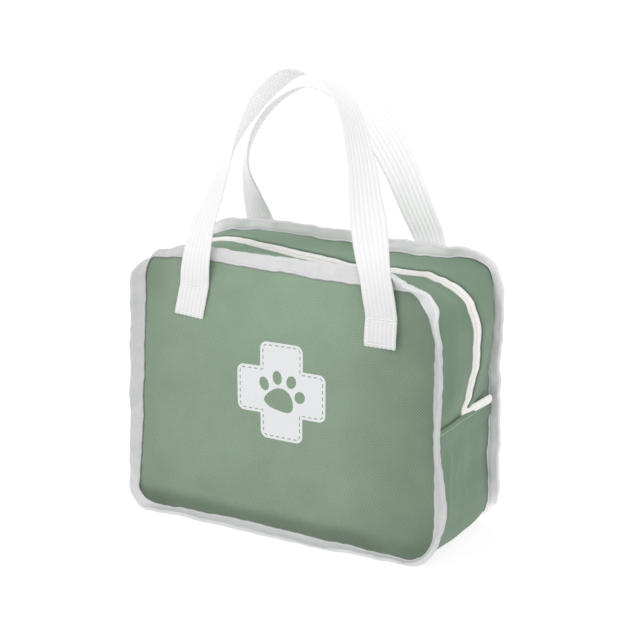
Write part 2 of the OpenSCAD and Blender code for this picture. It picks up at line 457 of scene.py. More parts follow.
def webbing_material(name):
    """Ribbed webbing: the ribs are in the mesh; here are the fine picks across each rib."""
    m = new_material(name)
    n = Nodes(m)
    uv = n.cloth()
    u, v = split_xy(n, uv)
    # picks lean one way on one rib and the other way on the next
    rib = n.math("SINE", n.math("MULTIPLY", v, 2 * math.pi * 10 / 6.4))
    lean = n.math("MULTIPLY", rib, 1.1)
    picks = n.math("SINE", n.math("ADD", n.math("MULTIPLY", u, 2 * math.pi * 10 / 1.25), lean))
    picks = n.math("ADD", n.math("MULTIPLY", picks, 0.5), 0.5)
    yarn = n.math("ADD", n.math("MULTIPLY", n.math("SINE", n.math("MULTIPLY", v, 2 * math.pi * 10 / 0.8)), 0.5), 0.5)
    hair = n.noise(uv, 30.0, 4.0, 0.7)
    cloud = n.noise(uv, 1.1, 3.0, 0.5)
    colour = n.ramp(cloud, [(0.3, (0.94, 0.928, 0.94)), (0.7, (0.968, 0.955, 0.968))])
    colour = n.mix(n.math("MULTIPLY", n.math("SUBTRACT", 1.0, picks), 0.08), colour, (0.62, 0.62, 0.62))
    # less light reaches the valleys between the ribs
    valley = n.math("SUBTRACT", 0.5, n.math("MULTIPLY", n.math("COSINE", n.math("MULTIPLY", v, 2 * math.pi * 10 / 3.25)), 0.5))
    valley = n.math("MULTIPLY", n.math("MULTIPLY", valley, valley), 0.22)
    colour = n.toned(n.mix(valley, colour, (0.66, 0.66, 0.66)))
    normal = n.bump(picks, 0.18, 0.00012)
    normal = n.bump(yarn, 0.06, 0.00006, normal)
    n.finish(colour, n.math("ADD", n.math("MULTIPLY", hair, 0.12), 0.62), normal, sheen=0.0, spec=0.25, sss=0.0)
    return m


def tape_material(name, a, b):
    m = new_material(name)
    n = Nodes(m)
    uv = n.cloth()
    u, v = split_xy(n, uv)
    warp = n.math("ADD", n.math("MULTIPLY", n.math("SINE", n.math("MULTIPLY", v, 2 * math.pi * 10 / 0.55)), 0.5), 0.5)
    weft = n.math("ADD", n.math("MULTIPLY", n.math("SINE", n.math("MULTIPLY", u, 2 * math.pi * 10 / 0.75)), 0.5), 0.5)
    both = n.math("MULTIPLY", warp, weft)
    cloud = n.noise(uv, 2.5, 3.0, 0.6)
    colour = n.ramp(cloud, [(0.3, b), (0.7, a)])
    colour = n.mix(n.math("MULTIPLY", n.math("SUBTRACT", 1.0, both), 0.16), colour, tuple(c * 0.7 for c in b))
    normal = n.bump(both, 0.5, 0.00016)
    n.finish(colour, 0.78, normal, sheen=0.12, spec=0.3, sss=0.05)
    return m


def nylon_material(name, a, b):
    m = new_material(name)
    n = Nodes(m)
    p = n.place()
    cloud = n.noise(p, 240.0, 3.0, 0.6)
    colour = n.ramp(cloud, [(0.3, b), (0.7, a)])
    normal = n.bump(n.noise(p, 2600.0, 2.0, 0.5), 0.15, 0.00005)
    n.finish(colour, n.math("ADD", n.math("MULTIPLY", cloud, 0.15), 0.32), normal, spec=0.5, sss=0.15)
    return m


def thread_material(name, a, b):
    m = new_material(name)
    n = Nodes(m)
    p = n.place()
    ply = n.noise(p, 1900.0, 2.0, 0.5)
    colour = n.ramp(ply, [(0.3, b), (0.7, a)])
    normal = n.bump(ply, 0.5, 0.00008)
    n.finish(colour, 0.6, normal, sheen=0.2, spec=0.35)
    return m


def metal_material(name):
    m = new_material(name)
    n = Nodes(m)
    p = n.place()
    wear = n.noise(p, 420.0, 5.0, 0.65)
    cast = n.noise(p, 90.0, 3.0, 0.5)
    colour = n.ramp(cast, [(0.3, (0.62, 0.62, 0.63)), (0.7, (0.74, 0.74, 0.75))])
    rough = n.math("ADD", n.math("MULTIPLY", wear, 0.22), 0.20)
    normal = n.bump(wear, 0.12, 0.00006)
    n.finish(colour, rough, normal, metal=1.0, spec=0.5)
    return m


GREEN_DEEP = (0.248, 0.354, 0.246)
GREEN = (0.277, 0.389, 0.273)
GREEN_LIGHT = (0.305, 0.414, 0.292)
# darker greens for the gusset and zip strips, which are the panels' own canvas: painted shade
SHADED_SIDE_GREENS = ((0.166, 0.268, 0.178), (0.189, 0.296, 0.200), (0.211, 0.318, 0.219))
canvas_front = canvas_material("canvas_front", GREEN_DEEP, GREEN, GREEN_LIGHT)
canvas_side_shaded = canvas_material("canvas_side_shaded", *SHADED_SIDE_GREENS)
canvas_strip = canvas_material("canvas_zip_strip", *SHADED_SIDE_GREENS, fold=44.5)
ink_white = canvas_material("print_ink", GREEN_DEEP, GREEN, GREEN_LIGHT, ink=(0.665, 0.67, 0.685))
binding_white = soft_white_material("binding_tape", (0.66, 0.66, 0.665), (0.60, 0.602, 0.61))
# the back binding is the same tape as the front's painted far lighter: painted light where the case shades it
binding_back_painted_light = soft_white_material("binding_tape_back_painted_light", (0.95, 0.93, 0.95), (0.90, 0.88, 0.90))
webbing_white = webbing_material("handle_webbing")
zip_tape_cream = tape_material("zip_tape_cloth", (0.90, 0.885, 0.855), (0.84, 0.82, 0.79))
zip_coil_cream = nylon_material("zip_coil_nylon", (0.93, 0.915, 0.885), (0.87, 0.85, 0.82))
thread_white = thread_material("white_thread", (0.90, 0.90, 0.90), (0.80, 0.80, 0.80))
thread_green = thread_material("green_thread", (0.44, 0.56, 0.45), (0.34, 0.46, 0.35))
slider_metal = metal_material("slider_metal")

# ---------------------------------------------------------------- the two seams


class Seam:
    """The line where a panel meets the gusset: a rounded rectangle, walked from the middle of the bottom to the
    right, up, over the top, down the left and back. A place on it is a number from 0 to 11, whole at each join:
    1-2 lower right corner, 3 the zip's right end, 4-5 upper right corner, 6-7 upper left, 8 the zip's left end."""

    def __init__(self, radii, side, rows, seed):
        br, tr, tl, bl = radii
        x, z0, z1 = SEAM_X, SEAM_LOW, SEAM_TOP
        self.side = side  # -1 front, 1 back
        self.rows = rows
        self.seed = seed
        self.parts = [
            ("line", (0, z0), (x - br, z0)),
            ("arc", (x - br, z0 + br), br, -90, 0),
            ("line", (x, z0 + br), (x, FOLD)),
            ("line", (x, FOLD), (x, z1 - tr)),
            ("arc", (x - tr, z1 - tr), tr, 0, 90),
            ("line", (x - tr, z1), (-x + tl, z1)),
            ("arc", (-x + tl, z1 - tl), tl, 90, 180),
            ("line", (-x, z1 - tl), (-x, FOLD)),
            ("line", (-x, FOLD), (-x, z0 + bl)),
            ("arc", (-x + bl, z0 + bl), bl, 180, 270),
            ("line", (-x + bl, z0), (0, z0)),
        ]
        self.lengths = [
            math.dist(p[1], p[2]) if p[0] == "line" else p[2] * math.pi / 2 for p in self.parts
        ]
        self.starts = np.concatenate([[0], np.cumsum(self.lengths)])

    def travel(self, p):
        """Millimetres walked from the start."""
        p = np.asarray(p, float)
        k = np.clip(np.floor(p).astype(int), 0, 10)
        return self.starts[k] + (p - k) * np.array(self.lengths)[k]

    def flat(self, p):
        p = np.asarray(p, float) % 11
        k = np.clip(np.floor(p).astype(int), 0, 10)
        t = p - k
        pt, nm = np.zeros((len(p), 2)), np.zeros((len(p), 2))
        for s, part in enumerate(self.parts):
            here = k == s
            if not here.any():
                continue
            if part[0] == "line":
                a, b = np.array(part[1]), np.array(part[2])
                d = unit(b - a)
                pt[here] = a + np.outer(t[here], b - a)
                nm[here] = [d[1], -d[0]]
            else:
                ang = np.radians(part[3] + t[here] * (part[4] - part[3]))
                nm[here] = np.stack([np.cos(ang), np.sin(ang)], 1)
                pt[here] = np.array(part[1]) + part[2] * nm[here]
        return pt, nm

    def frame(self, p):
        """Seam point, outward direction and forward direction, in millimetres."""
        p = np.asarray(p, float)
        pt, nm = self.flat(p)
        s = self.travel(p % 11)
        wander = 0.55 * ripple(self.seed, s, [38, 61, 92, 27]) + 0.2 * ripple(self.seed + 7, s, [11, 15])
        wander = wander * np.minimum(1, 0.4 + 0.6 * smooth(0, 40, np.minimum(s, self.starts[-1] - s)))
        sink = table(self.rows, p % 11, 3)
        pt = pt + nm * (wander + table(self.rows, p % 11, 5))[:, None]
        y = self.side * (MID_Y - sink)
        S = np.stack([pt[:, 0], y, pt[:, 1]], 1)
        N = np.stack([nm[:, 0], 0 * y, nm[:, 1]], 1)
        F = np.tile([0.0, self.side, 0.0], (len(p), 1))
        return S, N, F

    def ribbon(self, p, a):
        """A point of the middle surface of the bound seam, a millimetres out from the stitches. a is an array
        of shares of the width where 0 is the seam and 1 the outer edge."""
        S, N, F = self.frame(p)
        s = self.travel(np.asarray(p, float) % 11)
        total = self.starts[-1]
        w = table(self.rows, p % 11, 1) + 0.35 * ripple(self.seed + 3, s, [21, 33, 57])
        phi = np.radians(table(self.rows, p % 11, 2))
        curl = table(self.rows, p % 11, 4)
        ends = smooth(0, 14, np.minimum(s, total - s))
        wave = (0.75 * ripple(self.seed + 11, s, [34, 52, 19]) + 0.25 * ripple(self.seed + 13, s, [9, 13])) * ends
        a = np.asarray(a, float)
        A = (w[:, None] * a[None, :])[..., None]
        bend = np.clip(a, 0, 1)[None, :]
        ang = phi[:, None] * (0.55 + 0.45 * bend)
        ca, sa = np.cos(ang)[..., None], np.sin(ang)[..., None]
        lift = (wave[:, None] * bend**1.6 + curl[:, None] * bend**2)[..., None]
        return (
            S[:, None, :]
            + N[:, None, :] * A * ca
            + F[:, None, :] * (A * sa + lift)
        ), w


# place, width, splay in degrees (away from the case is plus), how far the seam sinks in, curl of the edge, how far
# the seam stands out from the plain rounded rectangle
FRONT_ROWS = [
    (0.0, 9.6, 75, 0.8, 0.0, 5.4),
    (0.25, 9.8, 74, 0.8, 0.4, 6.0),
    (0.5, 8.6, 80, 0.9, 0.0, 6.6),
    (0.8, 6.4, 86, 1.0, 0.0, 7.4),
    (1.0, 6.2, 86, 1.0, 0.0, 7.6),
    (1.35, 7.6, 84, 1.2, 0.0, 6.2),
    (1.6, 9.0, 78, 1.5, 0.0, 5.8),
    (1.85, 10.0, 66, 2.0, 0.0, 5.9),
    (2.02, 10.4, 56, 2.4, 0.0, 6.1),
    (2.12, 10.6, 39, 3.0, 0.0, 6.4),
    (2.3, 10.6, 24, 3.8, 0.2, 6.4),
    (2.45, 10.4, 32, 4.0, 0.0, 5.9),
    (2.6, 10.4, 42, 4.2, 0.0, 5.1),
    (2.8, 10.4, 59, 4.5, 0.3, 4.7),
    (3.05, 10.6, 62, 4.8, 0.3, 3.7),
    (3.2, 10.6, 52, 5.0, 0.0, 3.6),
    (3.5, 10.8, 48, 5.0, 0.0, 3.9),
    (3.75, 10.6, 57, 4.8, 0.3, 3.9),
    (3.9, 10.8, 56, 4.4, 0.0, 1.9),
    (4.03, 11.4, 46, 3.8, 0.0, 0.1),
    (4.25, 11.8, 26, 2.8, 0.4, -1.3),
    (4.45, 11.8, 26, 2.0, 0.8, -1.5),
    (4.62, 11.2, 42, 1.5, 0.6, -0.5),
    (4.78, 11.2, 61, 1.2, 0.2, 0.8),
    (4.93, 11.2, 67, 1.0, 0.0, 1.6),
    (5.01, 11.6, 45, 0.9, 0.0, 1.4),
    (5.07, 12.0, 8, 0.8, 0.0, 1.2),
    (5.16, 12.0, 2, 0.8, 0.0, 1.4),
    (5.25, 12.2, 2, 0.8, 0.2, 1.9),
    (5.4, 10.4, 4, 0.8, 0.0, 2.4),
    (5.6, 9.8, 2, 0.8, 0.0, 3.4),
    (5.75, 9.0, -1, 0.8, 0.0, 4.9),
    (5.87, 8.2, -14, 1.0, 0.0, 3.8),
    (5.93, 8.2, -48, 1.2, -0.2, 2.2),
    (5.98, 8.2, -66, 1.4, -0.4, 1.6),
    (6.25, 8.2, -76, 2.0, -0.4, -1.4),
    (6.5, 9.0, -62, 2.4, -0.4, -3.6),
    (6.75, 10.2, -36, 2.8, -0.2, -4.4),
    (6.93, 10.4, -4, 3.0, 0.0, -3.6),
    (7.05, 11.6, 26, 3.2, 0.2, -2.8),
    (7.3, 11.6, 28, 3.0, 0.2, -1.9),
    (7.6, 11.2, 21, 2.4, 0.0, -0.8),
    (8.0, 11.2, 14, 1.5, 0.2, -0.2),
    (8.5, 11.0, 6, 0.7, 0.0, 2.2),
    (8.8, 10.2, -2, 0.5, 0.0, 4.0),
    (9.0, 9.6, -2, 0.5, 0.0, 5.0),
    (9.25, 9.4, 4, 0.6, 0.2, 6.6),
    (9.5, 8.0, 18, 0.6, 0.2, 6.6),
    (9.75, 8.2, 60, 0.7, 0.0, 5.7),
    (10.0, 7.2, 77, 0.8, 0.0, 5.8),
    (10.3, 7.6, 78, 0.8, 0.0, 5.7),
    (10.5, 8.4, 73, 0.8, 0.3, 4.8),
    (10.75, 9.2, 72, 0.8, 0.0, 4.5),
    (11.0, 9.6, 75, 0.8, 0.0, 5.4),
]
BACK_ROWS = [
    (0.0, 9.0, 74, 0.6, 0.0, 4.6),
    (0.6, 9.0, 73, 0.6, 0.3, 4.8),
    (1.0, 6.6, 74, 0.5, 0.0, 5.0),
    (1.4, 4.6, 66, 0.4, 0.0, 4.0),
    (1.75, 4.8, 40, 0.4, 0.0, 2.2),
    (2.0, 6.4, 2, 0.4, 0.0, 3.2),
    (2.2, 9.4, -16, 0.4, 0.2, 2.8),
    (2.5, 10.2, -16, 0.5, 0.2, 2.2),
    (2.7, 10.0, -16, 0.5, 0.0, 3.2),
    (3.0, 9.8, -22, 0.6, 0.0, 2.0),
    (3.25, 10.1, -14, 0.6, 0.0, 0.9),
    (3.5, 9.8, -15, 0.6, 0.2, 1.9),
    (3.75, 9.3, -15, 0.6, 0.0, 3.2),
    (4.0, 8.3, -16, 0.4, 0.0, 3.0),
    (4.25, 6.4, -18, 0.3, 0.0, 3.5),
    (4.5, 5.7, -22, 0.3, 0.2, 4.6),
    (4.75, 5.9, -26, 0.3, 0.0, 5.0),
    (5.0, 6.7, -24, 0.3, 0.0, 4.6),
    (5.04, 7.0, -19, 0.3, 0.0, 4.2),
    (5.09, 7.9, -10, 0.3, 0.0, 2.3),
    (5.15, 8.8, -3, 0.3, 0.0, 1.7),
    (5.3, 9.6, -4, 0.3, 0.0, 2.0),
    (5.36, 9.4, 0, 0.3, 0.2, 2.3),
    (5.47, 8.4, -4, 0.3, 0.0, 4.6),
    (5.6, 8.4, -3, 0.3, 0.0, 5.2),
    (5.7, 8.6, -9, 0.3, 0.2, 6.1),
    (5.9, 8.8, -9, 0.3, 0.0, 5.4),
    (6.0, 9.0, -13, 0.3, 0.0, 4.6),
    (6.5, 10.2, 2, 0.3, 0.3, 1.8),
    (7.0, 10.8, 8, 0.4, 0.0, 0.4),
    (7.5, 11.0, 12, 0.6, 0.3, 0.0),
    (8.0, 11.0, 10, 0.6, 0.0, 0.0),
    (8.5, 11.0, 14, 0.5, 0.3, 0.6),
    (9.0, 10.6, 8, 0.4, 0.0, 2.0),
    (9.5, 9.6, 40, 0.4, 0.2, 3.4),
    (10.0, 9.0, 72, 0.5, 0.0, 4.4),
    (10.5, 9.2, 74, 0.6, 0.0, 4.6),
    (11.0, 9.0, 74, 0.6, 0.0, 4.6),
]
# place, how light the binding is painted: painted shade on the upright stretches and round the upper left corner,
# painted light round the upper right corner
FRONT_TONE = [(0.0, 0.98), (1.0, 0.99), (1.7, 0.96), (2.1, 0.86), (2.6, 0.82), (3.7, 0.82), (4.05, 1.02), (4.4, 1.14), (5.0, 1.02),
              (5.7, 0.96), (5.95, 0.84), (6.5, 0.82), (7.0, 0.82), (7.4, 0.82), (8.6, 0.83), (9.2, 0.92), (10.0, 0.98), (11.0, 0.98)]
# place, how light the back binding is painted: painted light up the right side and round the upper right corner, where
# the case shades it
BACK_TONE = [(0.0, 0.86), (1.6, 1.04), (2.4, 1.04), (3.2, 1.02), (3.8, 1.03), (4.3, 1.04), (4.9, 1.04), (5.3, 0.93), (6.0, 0.9),
             (11.0, 0.86)]
front_seam = Seam((13, 16, 12, 10), -1, FRONT_ROWS, 4)
back_seam = Seam((7, 15, 17, 10), 1, BACK_ROWS, 23)

# number of steps along each of the 11 stretches of a seam
STEPS = [52, 16, 38, 42, 22, 98, 22, 42, 38, 16, 52]


def places(first=0, last=10, steps=STEPS, end=False):
    out = []
    for k in range(first, last + 1):
        out.extend(k + np.arange(steps[k]) / steps[k])
    if end:
        out.append(last + 1)
    return np.array(out, float)


# ---------------------------------------------------------------- binding


def make_binding(name, seam):
    p = places()
    s = np.append(seam.travel(p), seam.starts[-1])
    _, w = seam.ribbon(p, np.array([0.0]))
    # along the tape's width, in shares of the seam's width, out to the fold and back
    width = float(np.mean(w))
    fold = 1 - 1.3 / width
    flat = np.array([-0.035, 0.0, 0.06, 0.12, 0.17, 0.22, 0.3, 0.4, 0.5, 0.6, 0.7, 0.8, fold * 0.985])
    R, w = seam.ribbon(p, np.append(flat, fold))
    d = unit(np.gradient(R, axis=1))
    di = np.roll(R, -1, 0) - np.roll(R, 1, 0)
    m = unit(np.cross(di, d))
    # keep one side of the ribbon as its front all the way round
    lead = np.sign((m[:, :1] * np.array([0.0, seam.side, 0.0])).sum(-1, keepdims=True))
    m = m * np.where(lead == 0, 1, lead)
    h = 1.55 + 0.0 * flat
    h = h - 0.28 * bell(flat, 0.16, 0.035) + 0.16 * np.sin(np.pi * np.clip((flat - 0.2) / 0.8, 0, 1)) - 0.22 * smooth(0.75, 1, flat)
    h = np.append(h, h[-1] - 0.02)
    uneven = 0.12 * cloth_noise(seam.seed + 31, s[:-1, None] + 0 * h, (flat.tolist() + [fold]) * w[:, None] * 1.0, 9)
    front = R + m * (h + uneven)[..., None]
    back = R - m * (h + uneven)[..., None]
    core_f = R + m * (h + uneven - BIND)[..., None]
    core_b = R - m * (h + uneven - BIND)[..., None]
    turn, turn_in = [], []
    hf = (h + uneven)[:, -1][:, None]
    for ang in np.radians([64, 38, 13, -13, -38, -64]):
        turn.append(R[:, -1] + m[:, -1] * hf * math.sin(ang) + d[:, -1] * hf * math.cos(ang))
        turn_in.append(R[:, -1] + m[:, -1] * (hf - BIND) * math.sin(ang) + d[:, -1] * (hf - BIND) * math.cos(ang))
    P = np.concatenate([front, np.stack(turn, 1), back[:, ::-1]], 1)
    Q = np.concatenate([core_f, np.stack(turn_in, 1), core_b[:, ::-1]], 1)
    # where it meets the floor it is pressed flat
    for G in (P, Q):
        G[..., 2] = pressed(G[..., 2], 0.15)
    across = np.concatenate([[0], np.cumsum(np.linalg.norm(np.diff(P, axis=1), axis=2).mean(0))])
    # the raw and folded long edges lie in their own shadow
    crease = np.ones(P.shape[1])
    crease[[0, -1]] = 0.34
    crease[[1, -2]] = 0.55
    if seam.side > 0:
        # on the back binding, painted shade on the fold and painted light on the flat beside the seam
        crease = crease * np.interp(np.abs(np.linspace(-1, 1, P.shape[1])), [0, 0.2, 0.42, 1], [0.74, 0.86, 1.06, 1.06])
    tone = np.minimum(table(FRONT_TONE if seam.side < 0 else BACK_TONE, p, 1)[:, None] * crease, 1.15 if seam.side < 0 else 1.05)
    material = binding_white if seam.side < 0 else binding_back_painted_light
    return shell(name, P, Q, s, across, True, material, rim=0.8, tone=tone), float(across[-1]), float(s[-1])


front_binding, tape_width, front_round = make_binding("front_binding", front_seam)
back_binding, _, back_round = make_binding("back_binding_tape", back_seam)

# ---------------------------------------------------------------- panels


def nearest_place(seam, xz, n=2600):
    """For flat points, the place on the seam that is nearest and how far outside it they are."""
    p = np.linspace(0, 11, n, endpoint=False)
    S, N, _ = seam.frame(p)
    pts, nrm = S[:, [0, 2]], N[:, [0, 2]]
    best = np.zeros(len(xz), int)
    for k in range(0, len(xz), 500):
        d = ((xz[k : k + 500, None, :] - pts[None]) ** 2).sum(-1)
        best[k : k + 500] = d.argmin(1)
    off = ((xz - pts[best]) * nrm[best]).sum(-1)
    return p[best], off, pts[best], nrm[best]


def front_crown(x, z, inside):
    """How far the front panel stands proud of its flat place, inside being the distance in from the seam."""
    edge = 1 - np.exp(-np.maximum(inside, 0) / 9.0)
    low = bell(z, 26, 26) * (1 - smooth(70, 112, np.abs(x)) * 0.6)
    c = edge * (1.0 + 1.5 * low + 0.9 * bell(z, 95, 60) * bell(x, -10, 90))
    c = c + 0.45 * edge * cloth_noise(5, x, z, 85.0) + 0.16 * edge * cloth_noise(6, x, z, 34.0)
    # pulled in beside the handles and towards the upper corners
    c = c - 1.3 * bell(x, -97, 12) * bell(z, 165, 26)
    c = c + ridge(x, z, -58, 186, -52, 128, 5.0, -0.9) + ridge(x, z, -48, 186, -40, 150, 6.0, 0.5)
    c = c + ridge(x, z, 93, 186, 97, 110, 7.0, -1.3) + ridge(x, z, 60, 187, 64, 140, 6.0, -0.5)
    c = c + ridge(x, z, -108, 60, -60, 20, 9.0, 0.7) + ridge(x, z, -100, 28, 20, 17, 5.0, -0.6)
    c = c + ridge(x, z, 102, 100, 100, 22, 8.0, -0.7)
    c = c + ridge(x, z, 30, 15, 104, 34, 6.0, 0.5)
    # a hollow just above the bottom binding, and one beside the right
    d = np.maximum(inside, 0)
    c = c - 1.5 * (d / 4.0) * np.exp(1 - d / 4.0) * (1 - smooth(14, 30, z))
    c = c - 1.0 * (d / 6.0) * np.exp(1 - d / 6.0) * smooth(84, 104, x)
    return c


def front_tone(x, z):
    """How light the front panel is painted: painted light high up in the middle, painted shade to the right and in the
    hollows, with a little random unevenness.
    """
    t = 0.93 + 0.08 * bell(x, -8, 62) * smooth(90, 165, z) - 0.08 * smooth(-82, -108, x) - 0.16 * smooth(44, 92, x)
    t = t + 0.08 * bell(x, 38, 34) * smooth(130, 172, z) - 0.04 * smooth(88, 106, x) - 0.05 * smooth(60, 20, z)
    t = t - 0.26 * smooth(20, 10, z) * (1 - 0.8 * smooth(62, 88, x))
    t = t - 0.10 * bell(x, -104, 14) * smooth(150, 180, z)
    return t + 0.012 * cloth_noise(91, x, z, 46.0)


def back_tone(x, z):
    # painted light high up in the middle, painted shade towards the sides and the bottom, with a little random
    # unevenness
    t = 0.95 + 0.06 * bell(x, 10, 60) * smooth(80, 160, z) - 0.08 * smooth(85, 108, np.abs(x)) - 0.05 * smooth(60, 20, z)
    return t - 0.16 * smooth(20, 9, z) + 0.012 * cloth_noise(92, x, z, 46.0)


def back_crown(x, z, inside):
    edge = 1 - np.exp(-np.maximum(inside, 0) / 9.0)
    c = edge * (0.9 + 1.2 * bell(z, 30, 30) + 0.8 * bell(z, 100, 60) * bell(x, 15, 90))
    c = c + 0.5 * edge * cloth_noise(45, x, z, 80.0) + 0.16 * edge * cloth_noise(46, x, z, 32.0)
    c = c + ridge(x, z, -60, 186, -50, 120, 6.0, -0.7) + ridge(x, z, 50, 186, 40, 130, 6.0, -0.6)
    c = c + ridge(x, z, 100, 60, 60, 20, 9.0, 0.7) + ridge(x, z, -100, 100, -96, 30, 8.0, -0.7)
    return c


def panel_point(seam, crown, xz, depth=0.0):
    """Places flat panel points in space. depth is how far under the outer face they lie."""
    p, off, base, nrm = nearest_place(seam, xz)
    x, z = xz[:, 0], xz[:, 1]
    S, N, F = seam.frame(p)
    w = table(seam.rows, p, 1)
    phi = np.radians(table(seam.rows, p, 2)) * 0.55
    lift = 0.8 - depth
    # inside the seam: flat place plus crown
    sink = MID_Y - np.abs(S[:, 1])
    near = np.exp(np.minimum(off, 0) / 7.0)
    y_in = seam.side * (MID_Y + lift - sink * np.exp(np.minimum(off, 0) / 20.0) + crown(x, z, -off))
    inner = np.stack([x, y_in, z], 1) - N * (lift * np.sin(phi) * near)[:, None]
    # outside: under the binding, along the splayed seam
    o = np.maximum(off, 0)
    outer = S + N * (o * np.cos(phi))[:, None] + F * (o * np.sin(phi))[:, None]
    outer = outer + (F * np.cos(phi)[:, None] - N * np.sin(phi)[:, None]) * lift
    # keep the point's own place along the seam
    along = xz - base - nrm * off[:, None]
    outer[:, 0] += along[:, 0]
    outer[:, 2] += along[:, 1]
    placed = np.where((off > 0)[:, None], outer, inner)
    # its lower edge stays inside the binding that is pressed flat by the floor
    placed[:, 2] = pressed(placed[:, 2], 0.6)
    return placed


# The print: a rounded cross with a stitched line and a paw left out of it, drawn across and up.
CROSS_X, CROSS_Z, ARM, HALF_ARM, CROSS_R = 3.6, 107.0, 35.0, 16.8, 5.2


def rounded_cross(inset=0.0, step=1.6):
    a, b, r = ARM - inset, HALF_ARM - inset, max(CROSS_R - inset, 1.2)
    corners = []
    for q in range(4):
        c, s = [(1, 0), (0, 1), (-1, 0), (0, -1)][q]
        for u, v, outer in ((a, -b, True), (a, b, True), (b, b, False)):
            corners.append((u * c - v * s, u * s + v * c, outer))
    pts = []
    n = len(corners)
    for k in range(n):
        P0, P1, P2 = corners[k - 1], corners[k], corners[(k + 1) % n]
        p0, p1, p2 = (np.array(P[:2], float) for P in (P0, P1, P2))
        rr = r if P1[2] else 0.9
        d0, d1 = unit(p0 - p1), unit(p2 - p1)
        for t in np.linspace(0, 1, 8 if P1[2] else 4):
            # quarter round from the one edge to the other
            ang = t * math.pi / 2
            pts.append(p1 + d0 * rr * (1 - math.sin(ang)) + d1 * rr * (1 - math.cos(ang)))
    out = []
    for k in range(len(pts)):
        a0, b0 = pts[k], pts[(k + 1) % len(pts)]
        gap = np.linalg.norm(b0 - a0)
        m = max(1, int(round(gap / step)))
        for t in range(m):
            out.append(a0 + (b0 - a0) * t / m)
    return np.array(out) + [CROSS_X, CROSS_Z]


def oval(cx, cz, rx, rz, tilt, n=22, egg=0.0):
    t = np.linspace(0, 2 * math.pi, n, endpoint=False)
    x, z = rx * np.cos(t) * (1 + egg * np.sin(t)), rz * np.sin(t)
    c, s = math.cos(math.radians(tilt)), math.sin(math.radians(tilt))
    return np.stack([CROSS_X + cx + x * c - z * s, CROSS_Z + cz + x * s + z * c], 1)


def paw_pad(n=44):
    """The main pad: a rounded triangle, leaning."""
    rough = np.array([(-13.8, -7.2), (-11.0, -2.3), (-4.6, 2.2), (1.6, 2.5), (6.4, -0.4), (9.0, -5.4), (9.0, -11.2),
                      (5.4, -14.1), (-1.4, -13.7), (-9.4, -11.6)])
    m = len(rough)
    t = np.linspace(0, m, n, endpoint=False)
    k = np.floor(t).astype(int)
    f = (t - k)[:, None]
    a, b, c, d = (rough[(k + o) % m] for o in (-1, 0, 1, 2))
    pts = 0.5 * (2 * b + (c - a) * f + (2 * a - 5 * b + 4 * c - d) * f**2 + (3 * b - a - 3 * c + d) * f**3)
    return pts + [CROSS_X, CROSS_Z]


def dashes():
    line = rounded_cross(2.2, 0.3)
    d = np.linalg.norm(np.roll(line, -1, 0) - line, axis=1)
    s = np.concatenate([[0], np.cumsum(d)])
    total = s[-1]
    n = int(round(total / 4.7))
    closed = np.vstack([line, line[:1]])
    at = lambda q: np.stack([np.interp(q % total, s, closed[:, 0]), np.interp(q % total, s, closed[:, 1])], -1)
    out = []
    for k in range(n):
        c = (k + 0.5) * total / n
        mid = [at(np.array(c + q)) for q in (-1.35, 0.0, 1.35)]
        left, right = [], []
        for q, here in zip((-1.35, 0.0, 1.35), mid):
            t = unit(at(np.array(c + q + 0.2)) - at(np.array(c + q - 0.2)))
            nrm = np.array([-t[1], t[0]]) * 0.36
            left.append(here + nrm)
            right.append(here - nrm)
        out.append(np.array(left + right[::-1]))
    return out


PAW = [
    paw_pad(),
    oval(-13.6, 4.6, 3.6, 5.0, 20),
    oval(-3.4, 10.0, 3.6, 5.0, 8),
    oval(7.8, 8.2, 3.9, 4.6, -16),
    oval(14.8, -1.6, 4.1, 4.4, -38),
]


def inside_loop(points, loop):
    x, y = points[:, 0][:, None], points[:, 1][:, None]
    x0, y0 = loop[:, 0], loop[:, 1]
    x1, y1 = np.roll(x0, -1), np.roll(y0, -1)
    cut = ((y0 > y) != (y1 > y)) & (x < (x1 - x0) * (y - y0) / np.where(y1 == y0, 1e-12, y1 - y0) + x0)
    return cut.sum(1) % 2 == 1


